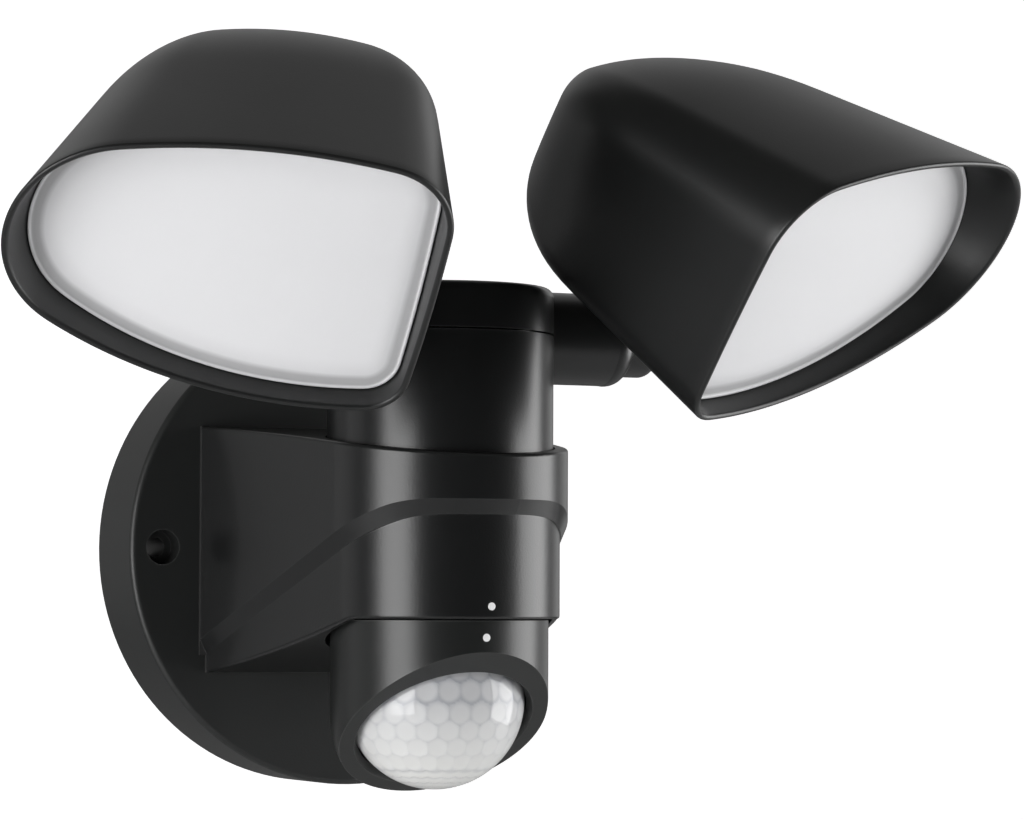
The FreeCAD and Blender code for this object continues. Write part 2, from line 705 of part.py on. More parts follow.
def make_cap_seal():
    """Two arcs of cord seal in the skirt's groove, between the barrels."""
    ring = seal_ring(skirt_radius, cap_seal_half, V(0, axis_y, cap_seal_z), Z_AXIS)
    low = V(0, axis_y, cap_seal_z - over)
    ring = ring.common(rod(column_radius - column_wall - seal_gap, low, Z_AXIS, 2 * over))
    half = journal_flange_r + flange_room + 1
    return ring.cut(block((-column_radius, axis_y - half, cap_seal_z - over),
                          (column_radius, axis_y + half, cap_seal_z + over)))


def make_cap_screws():
    seat_r = column_radius - cap_screw_sink
    return Part.makeCompound([screw(outward(angle), around(seat_r, angle, cap_screw_z), cap_screw_r,
                                    cap_screw_length, *cap_screw_head) for angle in cap_screw_angles])


def make_column_screws():
    seat_z = column_bottom_z + foot_thick
    return Part.makeCompound([screw(Z_AXIS, around(foot_screw_ring_r, angle, seat_z), foot_screw_r,
                                    foot_screw_length, *foot_screw_head) for angle in foot_screw_angles])


# ---------------------------------------------------------------- knuckles (right side)
def revolved_bar(profile):
    """Solid of revolution about the tilt axis; the profile gives (x, radius) pairs."""
    edges = []
    for start, middle, end in profile:
        place = [None if p is None else V(p[0], axis_y, knuckle_z + p[1]) for p in (start, middle, end)]
        if middle is None:
            edges.append(Part.makeLine(place[0], place[2]))
        else:
            edges.append(Part.Arc(*place).toShape())
    face = Part.Face(Part.Wire(edges))
    return face.revolve(V(0, axis_y, knuckle_z), X_AXIS, 360)


def make_arm_barrel():
    """Barrel that stands out from the column; its journal is clamped between column and cap."""
    a = math.radians(45)
    straight_x = barrel_end_x - barrel_end_round
    round_r = barrel_radius - barrel_end_radius
    mid = (straight_x + barrel_end_round * math.sin(a), barrel_end_radius + round_r * math.cos(a))
    body = revolved_bar([((barrel_root_x, 0), None, (barrel_root_x, barrel_radius)),
                         ((barrel_root_x, barrel_radius), None, (straight_x, barrel_radius)),
                         ((straight_x, barrel_radius), mid, (barrel_end_x, barrel_end_radius)),
                         ((barrel_end_x, barrel_end_radius), None, (barrel_end_x, 0)),
                         ((barrel_end_x, 0), None, (barrel_root_x, 0))])
    column = rod(column_radius + dot_gap, V(0, axis_y, column_bottom_z), Z_AXIS, cap_top_z - column_bottom_z)
    body = body.cut(column)
    journal = knuckle_bar(journal_radius, journal_flange_x[0], column_radius + over)
    flange = knuckle_bar(journal_flange_r, *journal_flange_x)
    body = fused([body, journal, flange])
    body = body.cut(knuckle_bar(axle_radius + running_gap, 0, barrel_end_x + over))
    return body.cut(tilt_seal_ring(ring_seal_half + seal_gap))


def tilt_seal_ring(half):
    """Square ring round the axle, in the barrel's end."""
    centre = V(barrel_end_x - ring_seal_half + tilt_seal_proud, axis_y, knuckle_z)
    return seal_ring(axle_radius + tilt_seal_step, half, centre, X_AXIS)


def neck_rod(radius, start, end):
    """Round bar on the swivel axis, before the knuckle is tilted."""
    return rod(radius, V(neck_x, axis_y, knuckle_z + start), Z_AXIS, end - start)


def spigot_end():
    return boss_end + washer_thick + nut_thick + spigot_over


def make_tilt_knuckle():
    """Drum on a hollow axle, with a neck and a spigot for the lamp head."""
    start_x = barrel_end_x + face_gap
    a = math.radians(45)
    bend_x = drum_end_x - drum_end_round
    bend_r = drum_radius - drum_end_round
    mid = (bend_x + drum_end_round * math.sin(a), bend_r + drum_end_round * math.cos(a))
    drum = revolved_bar([((start_x, 0), None, (start_x, drum_radius)),
                         ((start_x, drum_radius), None, (bend_x, drum_radius)),
                         ((bend_x, drum_radius), mid, (drum_end_x, bend_r)),
                         ((drum_end_x, bend_r), None, (drum_end_x, 0)),
                         ((drum_end_x, 0), None, (start_x, 0))])
    axle = knuckle_bar(axle_radius, axle_tip_x(), neck_x)
    stem = block((neck_x - neck_width / 2, axis_y - neck_depth / 2, knuckle_z),
                 (neck_x + neck_width / 2, axis_y + neck_depth / 2, knuckle_z + sum(disc_span) / 2))
    upright = [e for e in stem.Edges if abs(e.tangentAt(e.FirstParameter).z) > 0.9]
    stem = stem.makeFillet(neck_round, upright)
    disc = neck_rod(spigot_radius + disc_step, *disc_span)
    spigot = neck_rod(spigot_radius, disc_span[0], spigot_end())
    knuckle = fused([drum, axle, stem, disc, spigot])
    knuckle = knuckle.cut(knuckle_bar(wire_bore_r, 0, neck_x))
    return knuckle.cut(neck_rod(wire_bore_r, 0, spigot_end() + over))


def axle_tip_x():
    return journal_flange_x[0] - washer_thick - nut_thick - spigot_over


def hexagon(flat_distance, start, direction, length):
    """Six-sided bar from a point along a direction; the flats lie at a distance from its axis."""
    turn = FreeCAD.Rotation(Z_AXIS, direction)
    radius = flat_distance * 2 / math.sqrt(3)
    corners = []
    for k in range(7):
        angle = math.radians(60 * k)
        corners.append(start + turn.multVec(V(radius * math.cos(angle), radius * math.sin(angle), 0)))
    return Part.Face(Part.makePolygon(corners)).extrude(direction * length)


def make_tilt_washer():
    high = journal_flange_x[0]
    outer_r = axle_radius + nut_wall + nut_flange_step
    return knuckle_bar(outer_r, high - washer_thick, high).cut(through_bar(axle_radius + thread_gap))


def make_tilt_nut():
    high = journal_flange_x[0] - washer_thick
    bar = hexagon(axle_radius + nut_wall, V(high - nut_thick, axis_y, knuckle_z), X_AXIS, nut_thick)
    return bar.cut(through_bar(axle_radius))


def make_swivel_nut():
    """Flanged nut that holds the lamp head on the spigot."""
    low = boss_end + nut_gap
    flat_distance = spigot_radius + nut_wall
    flange = neck_rod(flat_distance + nut_flange_step, low, low + washer_thick)
    bar = hexagon(flat_distance, V(neck_x, axis_y, knuckle_z + low + washer_thick), Z_AXIS, nut_thick)
    return fused([flange, bar]).cut(neck_rod(spigot_radius, low, spigot_end()))


# ---------------------------------------------------------------- lamp head, in its own frame
# u, v, w are the local x, y, z. The pivot lies at pivot_in_head.
def outline_arcs(inset):
    """The six arcs of the opening, moved inwards by inset: (centre u, v, radius, from, to)."""
    def corner(v, radius):
        u = flat_bulge_r - math.sqrt((flat_bulge_r - radius) ** 2 - v ** 2)
        return (u, v, radius)

    def side(corner_arc, radius, sign):
        cu, cv, cr = corner_arc
        reach_c = radius - cr
        reach_n = radius - nose_r
        du = nose_u - cu
        dv = -cv
        gap = math.hypot(du, dv)
        along = (reach_c ** 2 - reach_n ** 2 + gap ** 2) / (2 * gap)
        off = math.sqrt(reach_c ** 2 - along ** 2)
        eu = du / gap
        ev = dv / gap
        return (cu + eu * along - sign * -ev * off, cv + ev * along - sign * eu * off, radius)

    def angle(frm, to):
        return math.atan2(to[1] - frm[1], to[0] - frm[0])

    top = corner(*upper_corner)
    low = corner(*lower_corner)
    nose = (nose_u, 0.0, nose_r)
    top_side = side(top, upper_side_r, 1)
    low_side = side(low, lower_side_r, -1)
    flat = (flat_bulge_r, 0.0, flat_bulge_r)
    a_top = angle(flat, top) % (2 * math.pi)
    a_low = angle(flat, low) % (2 * math.pi)
    arcs = [(flat, a_low, a_top),
            (top, a_top, angle(top_side, top)),
            (top_side, angle(top_side, top), angle(top_side, nose)),
            (nose, angle(top_side, nose), angle(low_side, nose)),
            (low_side, angle(low_side, nose), angle(low_side, low)),
            (low, angle(low_side, low), a_low - 2 * math.pi)]
    return [(c[0], c[1], c[2] - inset, start, end) for c, start, end in arcs]


def head_wire(depth, size, narrow, inset):
    """Outline at a depth behind the rim: inset, tapered by size, rounded off by narrow, and shifted."""
    share = depth / head_length
    scale = size * narrow
    edges = []
    for cu, cv, radius, start, end in outline_arcs(inset / size):
        points = []
        for angle in (start, (start + end) / 2, end):
            u = cu + radius * math.cos(angle)
            v = cv + radius * math.sin(angle)
            points.append(V((u - taper_u) * scale + taper_u + lean_u * share,
                            v * scale + lean_v * share, -depth))
        edges.append(Part.Arc(*points).toShape())
    return Part.Wire(edges)


def head_loft(inset, depth_inset, rim=0.0):
    """Closed solid of the head's form, moved inwards: a straight hood and a rounded back."""
    dome_depth = dome_start * head_length
    front = head_wire(-rim, 1 + taper * rim / head_length, 1.0, inset)
    joint = head_wire(dome_depth, 1 - taper * dome_start, 1.0, inset)
    rounded = [joint]
    for step in dome_steps:
        angle = math.radians(step)
        rise = math.sin(angle) ** (2 / dome_power)
        narrow = math.cos(angle) ** (2 / dome_power)
        depth = dome_depth + rise * (head_length - depth_inset - dome_depth)
        rounded.append(head_wire(depth, 1 - taper * depth / head_length, narrow, inset))
    return Part.makeLoft([front, joint], True, True).fuse(Part.makeLoft(rounded, True, False))


def sloped_slab(front, back):
    """Slab parallel to the diffuser, between two distances behind the diffuser's face."""
    reach = 2 * head_length
    slab = block((-reach, -reach, -back), (reach, reach, -front))
    slab.rotate(ORIGIN, X_AXIS, -math.degrees(math.atan(diffuser_slope)))
    slab.translate(V(0, 0, -diffuser_depth))
    return slab


def head_stack():
    """Distances of the layers behind the diffuser's face."""
    seal = diffuser_thick
    ledge = seal + head_seal_thick
    reflector = ledge
    board = reflector + reflector_thick
    plate = board + board_thick
    back = plate + heat_plate_thick
    return {"seal": seal, "ledge": ledge, "reflector": reflector, "board": board, "plate": plate,
            "back": back}


def head_frame():
    """Placement from the untilted swivel frame (origin at the pivot, Z along the neck) to the head."""
    cant = FreeCAD.Rotation(Z_AXIS, cant_turn) * FreeCAD.Rotation(X_AXIS, cant_nod)
    turn = FreeCAD.Rotation(X_AXIS, 90) * cant
    return FreeCAD.Placement(pivot_in_head, turn.inverted())


def in_head(shape):
    """Shape built about the swivel axis at the origin, carried into the head's own frame."""
    moved = shape.copy()
    moved.Placement = head_frame() * moved.Placement
    return moved


def screw_axis(u, v):
    """Point on the heat plate's front and direction of a head screw."""
    tilt = math.atan(diffuser_slope)
    out = V(0, math.sin(tilt), math.cos(tilt))
    depth = diffuser_depth + diffuser_slope * v
    return V(u, v, -depth), out


def screw_sites():
    return [screw_axis(u, v) for u, v in head_screw_uv]


def make_head():
    """All pieces of one lamp head, in the head's own frame."""
    stack = head_stack()
    ledge_inset = head_wall + head_ledge_width
    well_inset = ledge_inset + reflector_gap
    outer = head_loft(0.0, 0.0)
    inner = head_loft(head_wall, head_wall, rim=1.0)
    cavity_gap = head_loft(head_wall + diffuser_gap, head_wall, rim=1.0)
    ledge_hole = head_loft(ledge_inset, ledge_inset, rim=1.0)
    fill = head_loft(head_wall + inner_gap, head_wall + inner_gap, rim=1.0)

    hollow = inner.cut(sloped_slab(stack["ledge"], stack["ledge"] + head_ledge_thick).cut(ledge_hole))
    for point, out in screw_sites():
        hollow = hollow.cut(rod(head_boss_r, point - out * stack["back"], -out, head_length))
    boss = in_head(rod(boss_radius, V(0, 0, boss_start), Z_AXIS, boss_end - boss_start))
    shell = outer.cut(hollow.cut(boss)).fuse(boss)
    shell = shell.cut(in_head(rod(spigot_radius + running_gap, ORIGIN, Z_AXIS, boss_end + over)))
    for point, out in screw_sites():
        shell = shell.cut(rod(head_screw_r + thread_gap, point - out * stack["board"], -out,
                              head_screw_length + 1))

    diffuser = cavity_gap.common(sloped_slab(0, diffuser_thick))
    seal_hole = head_loft(head_wall + diffuser_gap + head_seal_width, head_wall + 3, rim=1.0)
    seal = cavity_gap.cut(seal_hole).common(sloped_slab(stack["seal"], stack["ledge"]))
    well = head_loft(well_inset, ledge_inset, rim=1.0)
    dish = head_loft(well_inset + reflector_wall, well_inset + reflector_wall, rim=1.0)
    reflector = well.cut(dish).common(sloped_slab(stack["reflector"] + reflector_lift, stack["board"]))
    board = fill.common(sloped_slab(stack["board"], stack["plate"]))
    plate = fill.common(sloped_slab(stack["plate"], stack["back"]))
    screws = []
    for point, out in screw_sites():
        hole = rod(head_screw_r + thread_gap, point, -out, head_length)
        board = board.cut(hole)
        plate = plate.cut(hole)
        reflector = reflector.cut(rod(head_screw_head[0] + diffuser_gap, point, -out, head_length))
        screws.append(screw(out, point - out * stack["board"], head_screw_r, head_screw_length,
                            *head_screw_head))
    chips = chip_grid(board, stack["board"])
    return {"head_shell": shell, "diffuser": diffuser, "diffuser_seal": seal, "reflector": reflector,
            "led_board": board, "heat_plate": plate, "board_screws": Part.makeCompound(screws),
            "led_chips": chips}


def chip_grid(board, depth):
    """Square LED chips on the board's face, kept off its edge and off the screws."""
    tilt = math.degrees(math.atan(diffuser_slope))
    chips = []
    columns = int(chip_field[0] / chip_pitch)
    rows = int(chip_field[1] / chip_pitch)
    for i in range(columns):
        for j in range(rows):
            u = (i + 0.5) * chip_pitch
            v = (j - (rows - 1) / 2) * chip_pitch
            point, out = screw_axis(u, v)
            face = point - out * depth
            probe = face - out * (board_thick / 2)
            ring = [V(chip_margin * math.cos(k), chip_margin * math.sin(k), 0) for k in range(6)]
            lean = FreeCAD.Rotation(X_AXIS, -tilt)
            if not all(board.isInside(probe + lean.multVec(r), 0.01, True) for r in ring):
                continue
            chip = Part.makeBox(chip_size, chip_size, chip_thick)
            chip.translate(V(-chip_size / 2, -chip_size / 2, 0))
            chip.rotate(ORIGIN, X_AXIS, -tilt)
            chip.translate(face)
            chips.append(chip)
    return Part.makeCompound(chips)


def place_head(shape, side):
    """Carry a piece from the head's frame to its set position."""
    tilt, swivel = set_angles[side]
    pivot = V(neck_x, axis_y, knuckle_z)
    turn = FreeCAD.Rotation(X_AXIS, tilt) * FreeCAD.Rotation(Z_AXIS, swivel)
    to_swivel = head_frame().inverse()
    moved = shape.copy()
    moved.Placement = FreeCAD.Placement(pivot, turn) * to_swivel * moved.Placement
    return mirrored(moved, side)


def place_knuckle(shape, side):
    """Tilt a knuckle piece about the tilt axis."""
    moved = shape.copy()
    moved.rotate(V(0, axis_y, knuckle_z), X_AXIS, set_angles[side][0])
    return mirrored(moved, side)


def mirrored(shape, side):
    return shape if side == "right" else shape.mirror(ORIGIN, X_AXIS)


# ---------------------------------------------------------------- motion sensor
face_tilt = math.radians(face_angle)
face_out = V(0, -math.sin(face_tilt), -math.cos(face_tilt))   # direction that the lens looks in
round_centre = V(0, axis_y, sensor_round_z)
face_height = (V(0, axis_y, face_axis_z) - round_centre).dot(face_out)
face_centre = round_centre + face_out * face_height           # foot of the lens axis on the face


def bullet(inset, top_z, cut_depth):
    """Upright bullet with a round lower end, cut off parallel to the slanted face."""
    radius = sensor_radius - inset
    body = rod(radius, V(0, axis_y, sensor_round_z), Z_AXIS, top_z - sensor_round_z)
    end = Part.makeSphere(radius, round_centre)
    body = fused([body, end])
    reach = 4 * sensor_radius
    body = body.cut(rod(reach, face_centre - face_out * cut_depth, face_out, reach))
    return body.cut(rod(reach, V(0, axis_y, top_z), Z_AXIS, reach))


def lens_bar(radius, front, back):
    """Round bar on the lens axis between two depths behind the face."""
    return rod(radius, face_centre - face_out * back, face_out, back - front)


def sensor_room(gap=0.0):
    """Room inside the housing, kept a gap off its wall."""
    inset = sensor_wall + gap
    return bullet(inset, sensor_top_z - inset, face_thick)


def retainer_screw_places(z):
    return [around(retainer_screw_ring_r, angle, z) for angle in retainer_screw_angles]


def make_sensor_housing():
    """Bullet housing with a slanted lens face and a neck that turns in the body's floor."""
    body = bullet(0.0, sensor_top_z, 0.0)
    reach = dial_x + pad_edge
    pad = block((-reach, axis_y + dial_seat - pad_thick, dial_z - pad_edge),
                (reach, axis_y + sensor_radius, dial_z + pad_edge)).common(body)
    body = body.cut(sensor_room())
    neck = rod(neck_radius - running_gap, V(0, axis_y, sensor_top_z - 1), Z_AXIS,
               retainer_low_z - sensor_top_z + 1)
    body = fused([body, pad, neck])
    body = body.cut(rod(neck_bore_r, V(0, axis_y, sensor_top_z - sensor_wall - 1), Z_AXIS, 4 * over))
    lip = Part.makeCone(lip_inner_r, lip_outer_r, lip_depth, face_centre - face_out * lip_depth, face_out)
    body = body.cut(lip)
    body = body.cut(lens_bar(lens_radius + lens_gap, lip_depth, face_thick + 0.5))
    hole_depth = retainer_screw_length - retainer_thick
    for place in retainer_screw_places(retainer_low_z):
        body = body.cut(rod(retainer_screw_r + thread_gap, place, -Z_AXIS, hole_depth))
    body = body.cut(sensor_seal_ring(ring_seal_half + seal_gap))
    for side in (-1, 1):
        seat = V(side * dial_x, axis_y + dial_seat, dial_z)
        body = body.cut(rod(dial_radius + dial_gap, seat, Y_AXIS, 2 * over))
        body = body.cut(rod(dial_stem_r + running_gap, seat - Y_AXIS * over, Y_AXIS, 2 * over))
    dot = V(0, axis_y - sensor_radius, sensor_dot_z)
    return body.cut(rod(dot_radius, dot, Y_AXIS, dot_depth - dot_proud))


def sensor_seal_ring(half):
    """Square ring in the sensor's top face; it stands nearly up to the body's underside."""
    centre = V(0, axis_y, body_bottom_z - seal_gap - ring_seal_half)
    return seal_ring(neck_radius + neck_seal_step, half, centre, Z_AXIS)


def lens_centre():
    return face_centre - face_out * lens_centre_depth


def make_sensor_lens():
    """Dome lens with a flange behind the lens seat."""
    outer = Part.makeSphere(lens_radius, lens_centre())
    inner = Part.makeSphere(lens_radius - lens_wall, lens_centre())
    keep = lens_bar(lens_radius + over, -2 * lens_radius, lens_centre_depth)
    dome = outer.cut(inner).common(keep)
    flange_back = face_thick + lens_flange_thick
    flange = lens_bar(lens_flange_r, face_thick, flange_back)
    skirt = lens_bar(lens_radius, face_thick - 0.1, flange_back)
    hole = lens_bar(lens_radius - lens_wall, face_thick - 1, flange_back + 1)
    return fused([dome, fused([flange, skirt]).cut(hole).common(sensor_room(clamp_gap))])


def make_lens_clamp():
    """Ring behind the lens flange, with three posts that carry the sensor board."""
    front = face_thick + lens_flange_thick
    back = front + clamp_thick
    ring = lens_bar(lens_flange_r, front, back)
    ring = ring.cut(lens_bar(lens_flange_r - clamp_width, front - 1, back + 1))
    pieces = [ring]
    for angle in (60, 180, 300):
        turn = FreeCAD.Rotation(face_out, angle)
        offset = turn.multVec(X_AXIS * (sensor_board_r - board_post_inset))
        base = face_centre + offset - face_out * sensor_board_depth
        pieces.append(rod(clamp_post_r, base, face_out, sensor_board_depth - back + 0.2))
    return fused(pieces).common(sensor_room(clamp_gap))


def make_sensor_board():
    board = lens_bar(sensor_board_r, sensor_board_depth, sensor_board_depth + board_thick)
    return board.common(sensor_room(clamp_gap + 0.1))


def make_pyro_sensor():
    """Round metal can with a square window, on the sensor board."""
    step, base_thick = pyro_base
    width, height, depth = pyro_window
    can = lens_bar(pyro_radius - step, sensor_board_depth - pyro_height, sensor_board_depth)
    base = lens_bar(pyro_radius, sensor_board_depth - base_thick, sensor_board_depth)
    can = fused([can, base])
    top = face_centre - face_out * (sensor_board_depth - pyro_height)
    window = Part.makeBox(width, height, 2 * depth)
    window.translate(V(-width / 2, -height / 2, -depth))
    window.Placement = FreeCAD.Placement(top, FreeCAD.Rotation(Z_AXIS, face_out)) * window.Placement
    return can.cut(window)


def make_control_board():
    """Small board behind the dials, with two trimmers."""
    width, height = control_board_size
    back = axis_y + dial_seat - pad_thick - trimmer_height - trimmer_gap
    pieces = [block((-width / 2, back - board_thick, dial_z - height / 2),
                    (width / 2, back, dial_z + height / 2))]
    for side in (-1, 1):
        x = side * dial_x
        pieces.append(block((x - trimmer_half, back, dial_z - trimmer_half),
                            (x + trimmer_half, back + trimmer_height, dial_z + trimmer_half)))
    solid = fused(pieces)
    for side in (-1, 1):
        solid = solid.cut(rod(dial_stem_r + running_gap, V(side * dial_x, back, dial_z), Y_AXIS,
                              trimmer_height))
    return solid.common(sensor_room(clamp_gap))


def make_dial(side):
    """Setting dial with a screwdriver slot, in a round pocket at the back of the sensor."""
    seat = V(side * dial_x, axis_y + dial_seat + dial_lift, dial_z)
    rise = math.sqrt(sensor_radius ** 2 - dial_x ** 2) - dial_seat + dial_proud
    disc = rod(dial_radius, seat, Y_AXIS, rise)
    stem = rod(dial_stem_r, seat - Y_AXIS * dial_stem_length, Y_AXIS, dial_stem_length + 1)
    dial = fused([disc, stem])
    width, depth = dial_slot
    top = seat.y + rise
    return dial.cut(block((seat.x - width / 2, top - depth, dial_z - over),
                          (seat.x + width / 2, top + over, dial_z + over)))


def make_sensor_retainer():
    """Ring screwed on the sensor's neck, above the body's floor."""
    ring = tube(retainer_radius, neck_bore_r, V(0, axis_y, retainer_low_z), Z_AXIS, retainer_thick)
    for place in retainer_screw_places(retainer_low_z):
        ring = ring.cut(rod(retainer_screw_r + thread_gap, place, Z_AXIS, retainer_thick))
    return ring


def make_retainer_screws():
    places = retainer_screw_places(retainer_low_z + retainer_thick)
    return Part.makeCompound([screw(Z_AXIS, place, retainer_screw_r, retainer_screw_length,
                                    *retainer_screw_head) for place in places])


# ---------------------------------------------------------------- build
def build():
    os.makedirs("parts", exist_ok=True)
    save("back_plate", make_back_plate())
    save("wall_cover", make_wall_cover())
    save("wall_gasket", make_wall_gasket())
    save("cable_grommet", make_cable_grommet())
    save("terminal_block", make_terminal_block())
    save("terminal_screws", make_terminal_screws())
    save("driver_board", make_driver_board())
    save("driver_parts", make_driver_parts())
    save("driver_screws", make_driver_screws())
    save("arm_gasket", make_arm_gasket())
    save("arm_housing", make_arm_housing())
    save("arm_screws", make_arm_screws())
    save("body_index_dot", dot_piece(body_radius, body_dot_z))
    save("column_tube", make_column_tube())
    save("column_screws", make_column_screws())
    save("column_cap", make_column_cap())
    save("cap_seal", make_cap_seal())
    save("cap_screws", make_cap_screws())

    save("sensor_housing", make_sensor_housing())
    save("sensor_seal", sensor_seal_ring(ring_seal_half))
    save("sensor_lens", make_sensor_lens())
    save("lens_clamp", make_lens_clamp())
    save("sensor_board", make_sensor_board())
    save("pyro_sensor", make_pyro_sensor())
    save("control_board", make_control_board())
    save("sensor_retainer", make_sensor_retainer())
    save("retainer_screws", make_retainer_screws())
    save("sensor_index_dot", dot_piece(sensor_radius, sensor_dot_z))
    save("time_dial", make_dial(-1))
    save("light_dial", make_dial(1))

    barrel = make_arm_barrel()
    seal = tilt_seal_ring(ring_seal_half)
    washer = make_tilt_washer()
    nut = make_tilt_nut()
    knuckle = make_tilt_knuckle()
    swivel_nut = make_swivel_nut()
    head = make_head()
    for side in ("left", "right"):
        save("arm_barrel_" + side, mirrored(barrel, side))
        save("tilt_seal_" + side, mirrored(seal, side))
        save("tilt_washer_" + side, place_knuckle(washer, side))
        save("tilt_nut_" + side, place_knuckle(nut, side))
        save("tilt_knuckle_" + side, place_knuckle(knuckle, side))
        save("swivel_nut_" + side, place_knuckle(swivel_nut, side))
        for name, piece in head.items():
            save(name + "_" + side, place_head(piece, side))


build()
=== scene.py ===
# %% [markdown]
# # Motion sensor security light
# The object hangs on a wall: a round box, a moulded arm with an upright column, two hooded lamp heads
# on knuckles, and a bullet-shaped sensor with a faceted dome lens. Every part is satin black plastic
# except the two opal diffusers, the dome and two tiny white index dots. The construction is finished
# before this script starts, so the lesson is about surfaces: which pieces keep their built shape and
# only get a finish, and which ones deserve a finer mesh of their own.

# %% Load the built object
import json
import math

import bpy
import numpy as np
from mathutils import Matrix, Vector


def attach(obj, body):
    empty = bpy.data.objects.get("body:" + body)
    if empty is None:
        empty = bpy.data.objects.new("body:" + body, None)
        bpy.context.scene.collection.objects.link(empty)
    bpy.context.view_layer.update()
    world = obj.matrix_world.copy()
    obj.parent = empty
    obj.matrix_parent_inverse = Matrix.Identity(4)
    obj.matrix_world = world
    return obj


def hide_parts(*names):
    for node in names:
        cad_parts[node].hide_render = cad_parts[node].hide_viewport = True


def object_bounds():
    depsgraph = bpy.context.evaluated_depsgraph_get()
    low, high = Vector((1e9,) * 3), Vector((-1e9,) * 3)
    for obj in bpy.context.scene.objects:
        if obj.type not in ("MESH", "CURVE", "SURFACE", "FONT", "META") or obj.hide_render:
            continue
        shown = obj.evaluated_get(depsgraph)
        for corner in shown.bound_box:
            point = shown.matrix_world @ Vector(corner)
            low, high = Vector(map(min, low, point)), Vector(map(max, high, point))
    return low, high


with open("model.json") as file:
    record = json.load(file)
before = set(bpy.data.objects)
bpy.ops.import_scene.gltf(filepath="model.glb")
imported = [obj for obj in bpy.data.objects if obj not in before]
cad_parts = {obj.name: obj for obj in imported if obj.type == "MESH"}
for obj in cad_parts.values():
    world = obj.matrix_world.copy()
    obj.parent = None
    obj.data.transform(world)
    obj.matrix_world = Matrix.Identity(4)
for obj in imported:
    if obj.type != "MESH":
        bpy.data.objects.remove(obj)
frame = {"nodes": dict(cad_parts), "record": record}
built_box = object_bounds()
MM = 0.001
print("built box", [[round(c, 4) for c in corner] for corner in built_box])

# %% [markdown]
# ## Camera
# A long lens makes the object look calm and true to size. The camera stands about a metre away, to
# the left of the middle and a little lower than the heads, so that both openings and the dome show.
# Its place is given by two angles and a distance from a point it looks at, because those can be
# changed one at a time. A matrix made from its three axes sets it in one go.

# %% Camera
LOOK_AT = Vector((30.36, -60.0, 36.77)) * MM
CAMERA_DISTANCE = 1.0113
CAMERA_TURN = math.radians(-26.05)
CAMERA_RISE = math.radians(-2.85)
CAMERA_ROLL = math.radians(0.2)
CAMERA_LENS = 134.3
CAMERA_SENSOR = 36.0
CAMERA_NEAR = 0.05

away = Vector((math.sin(CAMERA_TURN) * math.cos(CAMERA_RISE),
               -math.cos(CAMERA_TURN) * math.cos(CAMERA_RISE), math.sin(CAMERA_RISE)))
level = Vector((math.cos(CAMERA_TURN), math.sin(CAMERA_TURN), 0))
upright = away.cross(level)
right = level * math.cos(CAMERA_ROLL) + upright * math.sin(CAMERA_ROLL)
up = upright * math.cos(CAMERA_ROLL) - level * math.sin(CAMERA_ROLL)

camera = bpy.data.objects.new("camera", bpy.data.cameras.new("camera"))
bpy.context.scene.collection.objects.link(camera)
camera.matrix_world = Matrix.Translation(LOOK_AT + away * CAMERA_DISTANCE) @ Matrix(
    (right, up, away)).transposed().to_4x4()
camera.data.lens = CAMERA_LENS
camera.data.sensor_width = CAMERA_SENSOR
camera.data.sensor_fit = "HORIZONTAL"
camera.data.clip_start = CAMERA_NEAR
bpy.context.scene.camera = camera
print("camera at", [round(c, 3) for c in camera.location])

# %% [markdown]
# ## Studio
# Black plastic shows almost nothing of its own colour: what we see is the room in its sheen. Two
# square soft boxes, one at each side, draw the upright highlights on the column, and the left one is
# also the window in the dome. Two dim ones behind them light the flanks, and a wide one above and
# behind shapes the tops of the hoods. The diffusers and the dome need light from the front, which a
# lamp without any sheen gives. A table holds all the lamps, so they are easy to compare and change.

# %% Soft boxes
COLUMN_AXIS_Y = -80.25 * MM
MIDDLE = Vector((0, COLUMN_AXIS_Y, 20 * MM))

# Each lamp: turn round the column in degrees (0 is in front, positive to the right), distance from
# the column and height above its middle, width and height of the lamp, all in metres, and watts.
SOFT_BOXES = {
    "left_box": (-67, 1.3, -0.09, 0.75, 0.75, 12.3),
    "left_rim": (-120, 1.3, 0.1, 0.6, 0.7, 0.75),
    "right_box": (75, 1.3, -0.03, 0.92, 0.95, 15.5),
    "right_rim": (122, 1.3, 0.25, 0.6, 1.0, 1.2),
    "back_box": (145, 0.95, 1.0, 1.9, 1.2, 2.2),
    "front_fill": (-36, 1.3, -0.34, 1.5, 0.42, 5.2),
}


def soft_box(name, turn, distance, rise, width, height, watts):
    """Rectangular area light that stands round the column and faces its middle."""
    angle = math.radians(turn)
    place = MIDDLE + Vector((math.sin(angle) * distance, -math.cos(angle) * distance, rise))
    light = bpy.data.lights.new(name, "AREA")
    light.shape = "RECTANGLE"
    light.size = width
    light.size_y = height
    light.energy = watts
    lamp = bpy.data.objects.new(name, light)
    lamp.location = place
    lamp.rotation_euler = (place - MIDDLE).to_track_quat("Z", "Y").to_euler()
    bpy.context.scene.collection.objects.link(lamp)
    return lamp


lamps = {name: soft_box(name, *numbers) for name, numbers in SOFT_BOXES.items()}
lamps["front_fill"].visible_glossy = False
print("soft boxes", {name: [round(c, 2) for c in lamp.location] for name, lamp in lamps.items()})

# %% [markdown]
# The world is white only for the camera. What it sends into the object's shadows and into its
# reflections is a quiet grey, so black stays black. The Light Path node tells the three apart.

# %% World
WORLD_FOR_CAMERA = 1.0
WORLD_FOR_LIGHT = 0.05
WORLD_FOR_GLOSS = 0.03

